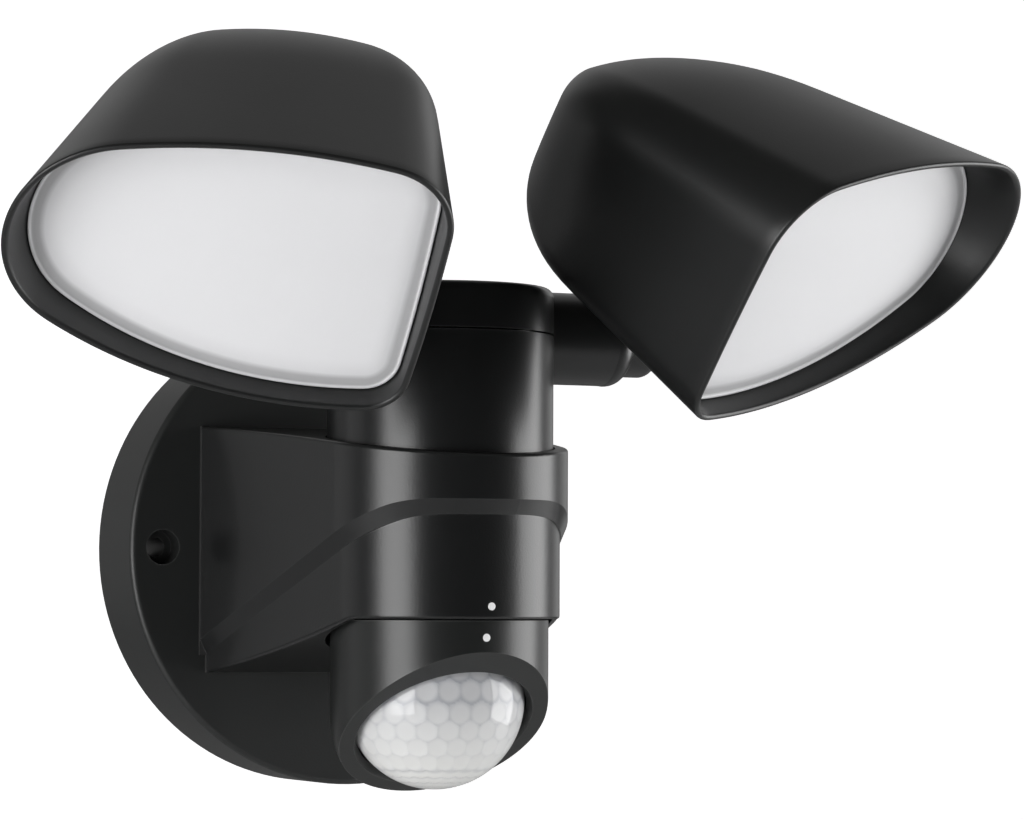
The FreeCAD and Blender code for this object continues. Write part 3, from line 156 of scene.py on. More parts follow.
world = bpy.data.worlds.new("studio")
bpy.context.scene.world = world
world.use_nodes = True
world_nodes = world.node_tree.nodes
world_links = world.node_tree.links
background = world_nodes["Background"]
background.inputs["Color"].default_value = (1, 1, 1, 1)
path = world_nodes.new("ShaderNodeLightPath")
mix_gloss = world_nodes.new("ShaderNodeMix")
mix_gloss.inputs["A"].default_value = WORLD_FOR_LIGHT
mix_gloss.inputs["B"].default_value = WORLD_FOR_GLOSS
world_links.new(path.outputs["Is Glossy Ray"], mix_gloss.inputs["Factor"])
mix_camera = world_nodes.new("ShaderNodeMix")
mix_camera.inputs["B"].default_value = WORLD_FOR_CAMERA
world_links.new(path.outputs["Is Camera Ray"], mix_camera.inputs["Factor"])
world_links.new(mix_gloss.outputs["Result"], mix_camera.inputs["A"])
world_links.new(mix_camera.outputs["Result"], background.inputs["Strength"])
bpy.context.scene.view_settings.view_transform = "Standard"
print("world strength", WORLD_FOR_LIGHT, "for light,", WORLD_FOR_GLOSS, "in reflections")

# %% [markdown]
# Two small helpers save lines from here on. One makes a material and hands out its node tree and its
# shader, the other adds a Math node whose operands may be numbers or sockets.

# %% Node helpers
def new_finish(name):
    """New material, its node tree and its Principled shader."""
    material = bpy.data.materials.new(name)
    material.use_nodes = True
    tree = material.node_tree
    return material, tree, tree.nodes["Principled BSDF"]


def add_math(tree, operation, first, second):
    """Math node; each operand is a number or a socket."""
    node = tree.nodes.new("ShaderNodeMath")
    node.operation = operation
    for index, value in enumerate((first, second)):
        if isinstance(value, (int, float)):
            node.inputs[index].default_value = value
        else:
            tree.links.new(value, node.inputs[index])
    return node.outputs[0]


# %% [markdown]
# The object hangs well above a pale floor, in front of a pale backdrop. Seen edge-on, even black
# plastic mirrors what stands behind it, so the backdrop is what lights the far sides of the box, the
# arm and the hoods. Both sheets look white to the camera, and the backdrop has a dimmer value of its
# own for reflections.

# %% Floor and backdrop
FLOOR_DROP = 0.45
BACKDROP_Y = 2.4
SHEET_WIDTH = 7.0
BACKDROP_HEIGHT = 3.0
UPRIGHT = (math.radians(90), 0, 0)
SHEET_ROUGHNESS = 0.7
FLOOR_GREY = 0.75
BACKDROP_GREY = 0.6
SHEET_FOR_CAMERA = 0.95
FLOOR_FOR_GLOSS = 0.0
BACKDROP_FOR_GLOSS = 0.13


def pale_sheet(name, size, place, turn, grey, for_camera, for_gloss):
    """Large plane with one brightness for the camera and another for reflections."""
    bpy.ops.mesh.primitive_plane_add(size=1.0, location=place, rotation=turn)
    sheet = bpy.context.object
    sheet.name = name
    sheet.scale = (*size, 1)
    material, tree, shader = new_finish(name)
    shader.inputs["Base Color"].default_value = (grey, grey, grey, 1)
    shader.inputs["Roughness"].default_value = SHEET_ROUGHNESS
    ray = tree.nodes.new("ShaderNodeLightPath")
    seen = add_math(tree, "MULTIPLY", ray.outputs["Is Camera Ray"], for_camera)
    mirrored = add_math(tree, "MULTIPLY", ray.outputs["Is Glossy Ray"], for_gloss)
    shader.inputs["Emission Color"].default_value = (1, 1, 1, 1)
    tree.links.new(add_math(tree, "ADD", seen, mirrored), shader.inputs["Emission Strength"])
    sheet.data.materials.append(material)
    return sheet


floor_z = built_box[0][2] - FLOOR_DROP
pale_sheet("floor", (SHEET_WIDTH, 2 * BACKDROP_Y), (0, 0, floor_z), (0, 0, 0),
           FLOOR_GREY, SHEET_FOR_CAMERA, FLOOR_FOR_GLOSS)
pale_sheet("backdrop", (SHEET_WIDTH, BACKDROP_HEIGHT), (0, BACKDROP_Y, floor_z + BACKDROP_HEIGHT / 2),
           UPRIGHT, BACKDROP_GREY, SHEET_FOR_CAMERA, BACKDROP_FOR_GLOSS)
print("floor at", round(floor_z, 3), "backdrop at", BACKDROP_Y)

# %% [markdown]
# ## Shared surface effects
# Moulded plastic comes out of a spark-eroded tool, so it has a very fine, even grain. Handling rubs
# the edges a little smoother and paler, and outdoors some dust settles on what faces up. Each effect
# is a node group with its own inputs, so every plastic can use it with other values. The groups only
# put out heights and masks; the shader itself stays in each material.

# %% Group helper
def new_group(name, inputs, outputs):
    """Shader group with float inputs {name: default} and float outputs; returns tree and both ends."""
    tree = bpy.data.node_groups.new(name, "ShaderNodeTree")
    for label, value in inputs.items():
        socket = tree.interface.new_socket(label, in_out="INPUT", socket_type="NodeSocketFloat")
        socket.default_value = value
    for label in outputs:
        tree.interface.new_socket(label, in_out="OUTPUT", socket_type="NodeSocketFloat")
    return tree, tree.nodes.new("NodeGroupInput"), tree.nodes.new("NodeGroupOutput")


# %% [markdown]
# The grain is a very fine noise. A slow, weak one under it keeps large faces from looking machined:
# real mouldings are never quite flat. Object coordinates tie both to the piece when it moves.

# %% Moulded grain
GRAIN_SCALE = 2200.0
GRAIN_DETAIL = 2.0
WAVE_SCALE = 45.0
WAVE_DETAIL = 1.0
WAVE_SHARE = 0.25


def grain_group():
    """Fine even grain of a spark-eroded mould, with a slower waviness under it."""
    tree, start, end = new_group("moulded_grain", {"Scale": GRAIN_SCALE, "Waviness": WAVE_SHARE},
                                 ["Height"])
    place = tree.nodes.new("ShaderNodeTexCoord")
    fine = tree.nodes.new("ShaderNodeTexNoise")
    fine.inputs["Detail"].default_value = GRAIN_DETAIL
    tree.links.new(place.outputs["Object"], fine.inputs["Vector"])
    tree.links.new(start.outputs["Scale"], fine.inputs["Scale"])
    slow = tree.nodes.new("ShaderNodeTexNoise")
    slow.inputs["Scale"].default_value = WAVE_SCALE
    slow.inputs["Detail"].default_value = WAVE_DETAIL
    tree.links.new(place.outputs["Object"], slow.inputs["Vector"])
    wave = add_math(tree, "MULTIPLY", slow.outputs["Fac"], start.outputs["Waviness"])
    tree.links.new(add_math(tree, "ADD", fine.outputs["Fac"], wave), end.inputs["Height"])
    return tree


GRAIN = grain_group()
print("group", GRAIN.name)

# %% [markdown]
# A Bevel node answers with the normal that a rounded edge would have. On flat faces it agrees with the
# true normal, and along edges it doesn't, so the difference is a mask of the edges. Multiplied by a
# noise, it breaks up as real rubbing does.

# %% Rubbed edges
EDGE_WIDTH = 0.0007
EDGE_GAIN = 6.0
EDGE_SAMPLES = 4
RUB_SCALE = 260.0


def edge_group():
    """Mask that is 1 along outer edges: where a rounded normal leaves the true one."""
    tree, start, end = new_group("rubbed_edges", {"Width": EDGE_WIDTH, "Strength": EDGE_GAIN},
                                 ["Mask"])
    bevel = tree.nodes.new("ShaderNodeBevel")
    bevel.samples = EDGE_SAMPLES
    tree.links.new(start.outputs["Width"], bevel.inputs["Radius"])
    geometry = tree.nodes.new("ShaderNodeNewGeometry")
    dot = tree.nodes.new("ShaderNodeVectorMath")
    dot.operation = "DOT_PRODUCT"
    tree.links.new(bevel.outputs["Normal"], dot.inputs[0])
    tree.links.new(geometry.outputs["Normal"], dot.inputs[1])
    away_from_flat = add_math(tree, "SUBTRACT", 1.0, dot.outputs["Value"])
    scaled = add_math(tree, "MULTIPLY", away_from_flat, start.outputs["Strength"])
    broken = tree.nodes.new("ShaderNodeTexNoise")
    broken.inputs["Scale"].default_value = RUB_SCALE
    place = tree.nodes.new("ShaderNodeTexCoord")
    tree.links.new(place.outputs["Object"], broken.inputs["Vector"])
    worn = add_math(tree, "MULTIPLY", scaled, broken.outputs["Fac"])
    tree.links.new(add_math(tree, "MINIMUM", worn, 1.0), end.inputs["Mask"])
    return tree


EDGES = edge_group()
print("group", EDGES.name)

# %% [markdown]
# Dust lies on what faces up, so the upward part of the normal is its mask, and a noise makes it
# patchy, as rain leaves it.

# %% Settled dust
DUST_AMOUNT = 0.3
DUST_PATCHES = 28.0
DUST_DETAIL = 5.0


def dust_group():
    """Mask of fine dust: thicker on what faces up, and patchy."""
    tree, start, end = new_group("settled_dust", {"Amount": DUST_AMOUNT, "Patch Scale": DUST_PATCHES},
                                 ["Mask"])
    geometry = tree.nodes.new("ShaderNodeNewGeometry")
    split = tree.nodes.new("ShaderNodeSeparateXYZ")
    tree.links.new(geometry.outputs["Normal"], split.inputs[0])
    facing = add_math(tree, "MAXIMUM", split.outputs["Z"], 0.0)
    place = tree.nodes.new("ShaderNodeTexCoord")
    patches = tree.nodes.new("ShaderNodeTexNoise")
    patches.inputs["Detail"].default_value = DUST_DETAIL
    tree.links.new(place.outputs["Object"], patches.inputs["Vector"])
    tree.links.new(start.outputs["Patch Scale"], patches.inputs["Scale"])
    patchy = add_math(tree, "MULTIPLY", facing, patches.outputs["Fac"])
    tree.links.new(add_math(tree, "MULTIPLY", patchy, start.outputs["Amount"]), end.inputs["Mask"])
    return tree


DUST = dust_group()
print("group", DUST.name)

# %% [markdown]
# ## The plastics
# Four helpers place what every finish needs: a group with its own values, a bump, a blend of two
# colours and a roughness that follows a mask. They work on the node tree of any material.

# %% Finish helpers
BUMP_DEPTH = 0.0002


def place_group(tree, group, **values):
    """Group node in a material's tree, with some of its inputs set."""
    node = tree.nodes.new("ShaderNodeGroup")
    node.node_tree = group
    for label, value in values.items():
        node.inputs[label.replace("_", " ")].default_value = value
    return node


def add_bump(tree, height, strength, depth=BUMP_DEPTH):
    """Bump from a height socket into the shader's normal."""
    bumps = tree.nodes.new("ShaderNodeBump")
    bumps.inputs["Strength"].default_value = strength
    bumps.inputs["Distance"].default_value = depth
    tree.links.new(height, bumps.inputs["Height"])
    tree.links.new(bumps.outputs["Normal"], tree.nodes["Principled BSDF"].inputs["Normal"])


def blend_colour(tree, first, second, mask, blend="MIX"):
    """Mix node from one colour to another by a mask; the first is a colour or a socket."""
    mix = tree.nodes.new("ShaderNodeMix")
    mix.data_type = "RGBA"
    mix.blend_type = blend
    if isinstance(first, tuple):
        mix.inputs["A"].default_value = (*first, 1)
    else:
        tree.links.new(first, mix.inputs["A"])
    mix.inputs["B"].default_value = (*second, 1)
    tree.links.new(mask, mix.inputs["Factor"])
    return mix.outputs["Result"]


def spread_roughness(tree, mask, at_none, at_full):
    """Roughness that follows a mask between two values."""
    rough = tree.nodes.new("ShaderNodeMapRange")
    rough.inputs["To Min"].default_value = at_none
    rough.inputs["To Max"].default_value = at_full
    tree.links.new(mask, rough.inputs["Value"])
    tree.links.new(rough.outputs["Result"], tree.nodes["Principled BSDF"].inputs["Roughness"])


# %% [markdown]
# One function mixes the three effects into a Principled shader. The base colour moves from the
# plastic's own tone towards a paler one where edges are rubbed, and towards dust where it lies, and
# rubbed edges are smoother. The grain only drives the bump. A plastic without wear or dust leaves
# those nodes out, so a value that is the same all over stays on the shader itself.

# %% Plastic material
RUBBED_GREY = 0.5
RUBBED_SHARE = 0.35
RUBBED_SMOOTHER = 0.72
DUST_COLOUR = (0.20, 0.20, 0.19)


def plastic(name, colour, roughness, grain=GRAIN_SCALE, bump=0.12, wear=0.25, dust=0.12, coat=0.0):
    """Moulded plastic with grain, rubbed edges and a little dust."""
    material, tree, shader = new_finish(name)
    shader.inputs["Base Color"].default_value = (*colour, 1)
    shader.inputs["Roughness"].default_value = roughness
    shader.inputs["Coat Weight"].default_value = coat
    tone = colour
    if wear:
        edge = place_group(tree, EDGES)
        rubbed = add_math(tree, "MULTIPLY", edge.outputs["Mask"], wear)
        pale = tuple(c + (RUBBED_GREY - c) * RUBBED_SHARE for c in colour)
        tone = blend_colour(tree, tone, pale, rubbed)
        spread_roughness(tree, rubbed, roughness, roughness * RUBBED_SMOOTHER)
    if dust:
        layer = place_group(tree, DUST, Amount=dust)
        tone = blend_colour(tree, tone, DUST_COLOUR, layer.outputs["Mask"])
    if wear or dust:
        tree.links.new(tone, shader.inputs["Base Color"])
    add_bump(tree, place_group(tree, GRAIN, Scale=grain).outputs["Height"], bump)
    return material


# %% [markdown]
# The outside is one satin black with small differences: the hoods are a little duller, while the wall
# box and the sensor's bevelled lip get paler copies of the same black, as painted light on their faces;
# the lip is less pale than the wall box. A real black plastic still returns almost one percent of the
# light, so none of them is a pure black. The inside pieces show only when something is taken off, and
# they get plain finishes of their kind. Each line gives the name, the colour and the roughness, and
# whatever differs from the usual grain, wear and dust.

# %% The object's plastics
FINISH = {
    "housing": plastic("satin_black", (0.0070, 0.0073, 0.0075), 0.29),
    "hood": plastic("hood_black", (0.0076, 0.0080, 0.0081), 0.38),
    # The wall box and the sensor's lip get paler copies of the satin black, as painted light on their
    # faces.
    "wall_cover": plastic("wall_black_painted_light", (0.0115, 0.0122, 0.0120), 0.42),
    "bezel": plastic("bezel_black_painted_light", (0.010, 0.0108, 0.0105), 0.34),
    "rubber": plastic("seal_rubber", (0.014, 0.014, 0.014), 0.75, grain=900, wear=0.0, dust=0.2),
    "inner_plastic": plastic("inner_black", (0.045, 0.045, 0.048), 0.5, dust=0.0),
    "board_green": plastic("solder_mask_green", (0.02, 0.13, 0.05), 0.3, grain=600, dust=0.0, coat=0.4),
    "board_white": plastic("solder_mask_white", (0.80, 0.80, 0.78), 0.35, grain=600, dust=0.0),
    "chip": plastic("phosphor_yellow", (0.80, 0.66, 0.20), 0.45, dust=0.0),
    "reflector_white": plastic("reflector_white", (0.82, 0.82, 0.81), 0.25, dust=0.0),
    "dot_white": plastic("index_white", (0.86, 0.86, 0.86), 0.5, dust=0.0, wear=0.0),
    "component": plastic("component_black", (0.03, 0.03, 0.035), 0.45, dust=0.0),
    "terminal": plastic("terminal_grey", (0.42, 0.43, 0.43), 0.45, dust=0.0),
}
print("plastics", sorted(FINISH))

# %% [markdown]
# ## Metals
# Screws, nuts and washers are zinc plated steel, and the heat plates are cast aluminium. A bare metal
# has no grain to feel, only a sheen that wanders a little, so here the grain drives the roughness.

# %% Metals
METAL_WAVINESS = 0.8
METAL_SMOOTHEST = 0.8
METAL_ROUGHEST = 1.3


def metal(name, colour, roughness, scratches):
    """Bare metal with a fine uneven sheen."""
    material, tree, shader = new_finish(name)
    shader.inputs["Base Color"].default_value = (*colour, 1)
    shader.inputs["Metallic"].default_value = 1.0
    texture = place_group(tree, GRAIN, Scale=scratches, Waviness=METAL_WAVINESS)
    spread_roughness(tree, texture.outputs["Height"], roughness * METAL_SMOOTHEST,
                     roughness * METAL_ROUGHEST)
    return material


FINISH["steel"] = metal("zinc_steel", (0.60, 0.60, 0.58), 0.32, 700.0)
FINISH["aluminium"] = metal("cast_aluminium", (0.72, 0.72, 0.73), 0.45, 350.0)
print("metals", FINISH["steel"].name, FINISH["aluminium"].name)

# %% [markdown]
# ## Opal plastic
# The diffuser is evenly bright in the middle, and its tone is painted greyer in a border a few
# millimetres wide, as painted shade where the light leaves it to the side. A mesh can carry a number at
# each of its points: here the distance from the edge in millimetres. The material reads it and looks
# the tone, painted shade included, up in a colour ramp, and some scattering under the surface softens
# it.

# %% Opal material
BORDER_WIDTH = 8.0
# Tone by share of the border: painted shade in the border, lighter again on the outer bead, the opal's
# own white in the middle.
OPAL_TONES_WITH_PAINTED_SHADE = [(0.0, 0.64), (0.09, 0.68), (0.13, 0.42), (0.32, 0.46), (0.50, 0.73), (1.0, 0.77)]
OPAL_BLUER = 1.02
OPAL_ROUGHNESS = 0.38
OPAL_GRAIN = 1400.0
OPAL_BUMP = 0.05
OPAL_SCATTER = 0.25
OPAL_SCATTER_DEPTH = 0.002


def carried_number(tree, label):
    """Socket with the number that the mesh carries under a name."""
    attribute = tree.nodes.new("ShaderNodeAttribute")
    attribute.attribute_name = label
    return attribute.outputs["Fac"]


def scatter(shader, weight, depth):
    """Light that spreads under the surface, alike in all colours."""
    shader.inputs["Subsurface Weight"].default_value = weight
    shader.inputs["Subsurface Radius"].default_value = (1, 1, 1)
    shader.inputs["Subsurface Scale"].default_value = depth


def diffuser_material():
    """Opal plastic: bright in the middle, with painted shade in the see-through border."""
    material, tree, shader = new_finish("opal_diffuser")
    # The ramp paints shade into the border by the distance from the edge.
    ramp = tree.nodes.new("ShaderNodeValToRGB")
    share = add_math(tree, "DIVIDE", carried_number(tree, "edge_mm"), BORDER_WIDTH)
    tree.links.new(share, ramp.inputs["Fac"])
    while len(ramp.color_ramp.elements) < len(OPAL_TONES_WITH_PAINTED_SHADE):
        ramp.color_ramp.elements.new(0.5)
    for element, (position, value) in zip(ramp.color_ramp.elements, OPAL_TONES_WITH_PAINTED_SHADE):
        element.position = position
        element.color = (value, value, value * OPAL_BLUER, 1)
    tree.links.new(ramp.outputs["Color"], shader.inputs["Base Color"])
    shader.inputs["Roughness"].default_value = OPAL_ROUGHNESS
    scatter(shader, OPAL_SCATTER, OPAL_SCATTER_DEPTH)
    add_bump(tree, place_group(tree, GRAIN, Scale=OPAL_GRAIN).outputs["Height"], OPAL_BUMP)
    return material


FINISH["opal"] = diffuser_material()
print("opal tones at mm", [round(position * BORDER_WIDTH, 2) for position, value in OPAL_TONES_WITH_PAINTED_SHADE])

# %% [markdown]
# ## Lens plastic
# The dome is milky and glossy. Its small lenses are cut into the inside, so outside they only show as
# painted shade and bump: the grooves between them carry painted shade, and their bulges bend the light.
# Towards the upper rim, where the ring above shades the dome and its dark inside shows through, the
# tone is painted greyer, and low down it is painted lighter, as light from below. A clear coat stands
# for the polished outside.

# %% Lens material
# Milk tone with painted light low down, milk tone with painted shade high up, and the tint of the
# grooves' painted shade.
MILK_WITH_PAINTED_LIGHT_LOW = (0.76, 0.76, 0.745)
MILK_WITH_PAINTED_SHADE_HIGH = (0.50, 0.505, 0.52)
PAINTED_GROOVE_SHADE_TINT = (0.68, 0.69, 0.73)
RELIEF_BUMP = 0.5
RELIEF_DEPTH = 0.0005
LENS_ROUGHNESS = 0.5
LENS_SCATTER = 0.35
LENS_SCATTER_DEPTH = 0.0012
LENS_COAT = 0.6
LENS_COAT_ROUGHNESS = 0.03


def lens_material():
    """Milky plastic with painted light low down, painted shade towards the upper rim and in the
    grooves, under a glossy coat.
    """
    material, tree, shader = new_finish("milky_lens")
    # Painted light low down, painted shade towards the upper rim, then the grooves' painted shade on
    # top.
    milk = blend_colour(tree, MILK_WITH_PAINTED_LIGHT_LOW, MILK_WITH_PAINTED_SHADE_HIGH, carried_number(tree, "height"))
    tone = blend_colour(tree, milk, PAINTED_GROOVE_SHADE_TINT, carried_number(tree, "painted_groove_shade"), "MULTIPLY")
    tree.links.new(tone, shader.inputs["Base Color"])
    add_bump(tree, carried_number(tree, "relief"), RELIEF_BUMP, RELIEF_DEPTH)
    shader.inputs["Roughness"].default_value = LENS_ROUGHNESS
    scatter(shader, LENS_SCATTER, LENS_SCATTER_DEPTH)
    shader.inputs["Coat Weight"].default_value = LENS_COAT
    shader.inputs["Coat Roughness"].default_value = LENS_COAT_ROUGHNESS
    return material


FINISH["lens"] = lens_material()
print("finishes", sorted(FINISH))

# %% [markdown]
# ## Dress the built pieces
# The record says which finish slot each built piece belongs to, so a loop can dress them all. The
# wall box has a finish of its own, a paler copy of the black that paints the light on its faces. The
# pieces whose own shape is right keep it: wall box, arm, column, knuckles, sensor housing and all that
# is inside.

# %% Finish every built piece
for part in frame["record"]["subparts"]:
    mesh = frame["nodes"][part["node"]].data
    mesh.materials.clear()
    mesh.materials.append(FINISH.get(part["node"], FINISH[part["material_slot"]]))

# %% [markdown]
# ## Lamp heads
# A hood is a rounded D that shrinks and leans towards the back and closes in a soft dome. A mesh made
# ring by ring gives full control: each ring is the same outline at another depth, so the surface
# flows without a seam, and the rim can be a true half-round instead of two hard edges. All points are
# worked out in the head's own frame (u from the flat side to the nose, v along the flat side, w out
# of the opening) and then carried to the head's set position.

# %% The hood's outline
# All in mm. A corner is its place along the flat side and its radius, and the nose is the distance of
# its centre from the flat side and its radius. The flat side and the long sides are wide arcs too.
FLAT_BULGE = 600.0
UPPER_CORNER = (12.7, 19.2)
LOWER_CORNER = (-30.8, 10.9)
UPPER_SIDE = 172.0
LOWER_SIDE = 123.0
NOSE = (73.6, 29.3)
OUTLINE_POINTS = 180


def outline_arcs():
    """Centre u, v, radius, start and end angle of the six arcs."""
    def corner_arc(v, radius):
        return (FLAT_BULGE - math.sqrt((FLAT_BULGE - radius) ** 2 - v ** 2), v, radius)

    def side_arc(near, radius, sign):
        reach_corner = radius - near[2]
        reach_nose = radius - NOSE[1]
        du = NOSE[0] - near[0]
        dv = -near[1]
        gap = math.hypot(du, dv)
        along = (reach_corner ** 2 - reach_nose ** 2 + gap ** 2) / (2 * gap)
        off = math.sqrt(reach_corner ** 2 - along ** 2)
        eu = du / gap
        ev = dv / gap
        return (near[0] + eu * along + sign * ev * off, near[1] + ev * along - sign * eu * off, radius)

    def angle(origin, to):
        return math.atan2(to[1] - origin[1], to[0] - origin[0])

    top = corner_arc(*UPPER_CORNER)
    low = corner_arc(*LOWER_CORNER)
    nose = (NOSE[0], 0.0, NOSE[1])
    top_side = side_arc(top, UPPER_SIDE, 1)
    low_side = side_arc(low, LOWER_SIDE, -1)
    flat = (FLAT_BULGE, 0.0, FLAT_BULGE)
    from_low = angle(flat, low) % (2 * math.pi)
    from_top = angle(flat, top) % (2 * math.pi)
    return [(flat, from_low, from_top),
            (top, from_top, angle(top_side, top)),
            (top_side, angle(top_side, top), angle(top_side, nose)),
            (nose, angle(top_side, nose), angle(low_side, nose)),
            (low_side, angle(low_side, nose), angle(low_side, low)),
            (low, angle(low_side, low), from_low - 2 * math.pi)]


def outline_seeds(count):
    """Centre, radius and direction of evenly spread points: an inset only shortens the radius."""
    arcs = outline_arcs()
    lengths = [abs(end - start) * circle[2] for circle, start, end in arcs]
    seeds = []
    for k in range(count):
        way = k / count * sum(lengths)
        for (circle, start, end), length in zip(arcs, lengths):
            if way <= length:
                break
            way -= length
        turn = start + (end - start) * way / length
        seeds.append((circle[0], circle[1], circle[2], math.cos(turn), math.sin(turn)))
    return np.array(seeds)


SEEDS = outline_seeds(OUTLINE_POINTS)
print("outline", len(SEEDS), "points on", len(outline_arcs()), "arcs")

# %% [markdown]
# Every ring of the hood, the diffuser and the rim is this outline at some depth and inset. The hood
# shrinks evenly with depth about a point near its nose, and leans to the flat side as it goes back.

# %% Rings of the hood
HEAD_LENGTH = 91.8
HEAD_WALL = 1.7
TAPER = 0.34
TAPER_CENTRE = 62.0
LEAN = (-24.5, -9.0)


def hood_ring(depth, inset, narrow=1.0):
    """Ring of points at a depth behind the rim; depth is one number or one per point."""
    share = np.broadcast_to(np.asarray(depth, float), (len(SEEDS),)) / HEAD_LENGTH
    size = 1 - TAPER * share
    radius = SEEDS[:, 2] - inset / size
    u = SEEDS[:, 0] + radius * SEEDS[:, 3]
    v = SEEDS[:, 1] + radius * SEEDS[:, 4]
    scale = size * narrow
    return np.stack([(u - TAPER_CENTRE) * scale + TAPER_CENTRE + LEAN[0] * share,
                     v * scale + LEAN[1] * share, -share * HEAD_LENGTH], axis=1)


opening = np.ptp(hood_ring(0, 0), axis=0)
print("opening", round(float(opening[0]), 1), "by", round(float(opening[1]), 1), "mm")

# %% [markdown]
# A head hangs on two turning axes: a level one through the column's top, and the neck that stands on
# its knuckle. Both turns and the fixed cant of the head on its neck are matrices. Multiplied in the
# order in which the parts hang on each other, they carry any point of a head to where it belongs. The
# left head is the mirror image of the right one, with angles of its own.

# %% The set position of a head
PIVOT_IN_HEAD = Vector((35.5, -58.8, -47.4))
NECK = Vector((56.0, -80.25, 54.4))
CANT_TURN = math.radians(-8.0)
CANT_NOD = math.radians(-12.0)
QUARTER = math.radians(90)
SET_ANGLES = {"right": (56.7, 19.8), "left": (57.8, 11.8)}  # tilt and swivel in degrees
MIRROR = {"right": 1, "left": -1}


def to_row_frame(side, placed):
    """From the right head's place in mm to the row frame in metres, mirrored for the left head."""
    mirror = Matrix.Scale(MIRROR[side], 4, Vector((1, 0, 0)))
    return Matrix.Scale(MM, 4) @ mirror @ placed


def neck_matrix(side):
    """Place of the knuckle's frame: Z along the neck, origin on the tilt axis."""
    tilt = math.radians(SET_ANGLES[side][0])
    return to_row_frame(side, Matrix.Translation(NECK) @ Matrix.Rotation(tilt, 4, "X"))


def head_matrix(side):
    """Place of the head's own frame, its origin on the rim beside the flat side."""
    tilt, swivel = [math.radians(a) for a in SET_ANGLES[side]]
    turn = (Matrix.Rotation(tilt, 4, "X") @ Matrix.Rotation(swivel, 4, "Z")
            @ Matrix.Rotation(QUARTER, 4, "X") @ Matrix.Rotation(CANT_TURN, 4, "Z")
            @ Matrix.Rotation(CANT_NOD, 4, "X"))
    return to_row_frame(side, Matrix.Translation(NECK) @ turn @ Matrix.Translation(-PIVOT_IN_HEAD))


for side in SET_ANGLES:
    print(side, "head placed at", [round(c, 4) for c in head_matrix(side).to_translation()])

# %% [markdown]
# Every finer piece is made alike: rings of points are joined by four-sided faces, carried to their
# place, shaded smooth and told which body they ride on. Two helpers do that for all of them.

# %% Mesh helpers
def mesh_piece(name, points, faces, matrix, body, finish):
    """New smooth-shaded piece, carried to its place, riding on a body."""
    mesh = bpy.data.meshes.new(name)
    mesh.from_pydata([tuple(p) for p in points], [], faces)
    mesh.transform(matrix)
    if matrix.determinant() < 0:
        mesh.flip_normals()
    mesh.shade_smooth()
    mesh.materials.append(finish)
    piece = bpy.data.objects.new(name, mesh)
    bpy.context.scene.collection.objects.link(piece)
    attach(piece, body)
    return piece


def skin(rings, close_ends=True):
    """Faces between rings of equal length, with one face closing each end."""
    count = len(rings[0])
    faces = []
    for r in range(len(rings) - 1):
        for k in range(count):
            nxt = (k + 1) % count
            faces.append((r * count + k, r * count + nxt, (r + 1) * count + nxt, (r + 1) * count + k))
    if close_ends:
        last = (len(rings) - 1) * count
        faces.append(tuple(reversed(range(count))))
        faces.append(tuple(range(last, last + count)))
    return faces


# %% [markdown]
# The shell runs in one go from the middle of its back over the outside, round the rim and along the
# inside to the back again. So it is closed and has a true wall, and the light finds a soft rim.

# %% Hood shells
RIM_STEPS = 8
STRAIGHT_STEPS = 16
BACK_STEPS = 26
BACK_START = 0.54
BACK_POWER = 2.33
BACK_END = math.radians(89.0)


def back_rings(inset, depth_inset):
    """Rings over the rounded back, from the straight part to a small cap."""
    start = BACK_START * HEAD_LENGTH
    rings = []
    for k in range(1, BACK_STEPS):
        angle = BACK_END * k / (BACK_STEPS - 1)
        rise = math.sin(angle) ** (2 / BACK_POWER)
        narrow = math.cos(angle) ** (2 / BACK_POWER)
        rings.append(hood_ring(start + rise * (HEAD_LENGTH - depth_inset - start), inset, narrow))
    return rings


def hood_rings():
    """From the outer cap over the outside, round the rim and back along the inside."""
    half = HEAD_WALL / 2
    straight = np.linspace(half, BACK_START * HEAD_LENGTH, STRAIGHT_STEPS)
    outside = [hood_ring(depth, 0) for depth in straight] + back_rings(0, 0)
    rim = []
    for k in range(1, RIM_STEPS):
        angle = math.pi * k / RIM_STEPS
        rim.append(hood_ring(half - half * math.sin(angle), half - half * math.cos(angle)))
    inside = [hood_ring(depth, HEAD_WALL) for depth in straight] + back_rings(HEAD_WALL, HEAD_WALL)
    return outside[::-1] + rim + inside


for side in ("left", "right"):
    rings = hood_rings()
    shell = mesh_piece("hood_" + side, np.concatenate(rings), skin(rings), head_matrix(side),
                       "head_" + side, FINISH["hood"])
    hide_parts("head_shell_" + side)
print("hood", len(shell.data.polygons), "faces each")

# %% [markdown]
# The hood sits on its neck with a short round boss. It is turned like on a lathe: a profile of radius
# and height is swept round the neck's axis, with its lower edge eased.

# %% Bosses under the hoods
BOSS_RADIUS = 9.2
BOSS_BORE = 6.06
BOSS_START = 14.4
BOSS_END = 27.0
BOSS_EASE = 0.9
EASE_STEPS = 5
LATHE_POINTS = 64


def lathe(profile):
    """Rings of a profile of (radius, height) pairs about Z."""
    turns = np.arange(LATHE_POINTS) / LATHE_POINTS * 2 * math.pi
    return [np.stack([r * np.cos(turns), r * np.sin(turns), np.full(LATHE_POINTS, z)], axis=1)
            for r, z in profile]


def closed_skin(rings):
    """Faces of a ring-shaped body: the last ring joins the first."""
    count = len(rings[0])
    faces = skin(rings, close_ends=False)
    last = (len(rings) - 1) * count
    for k in range(count):
        nxt = (k + 1) % count
        faces.append((last + k, last + nxt, nxt, k))
    return faces


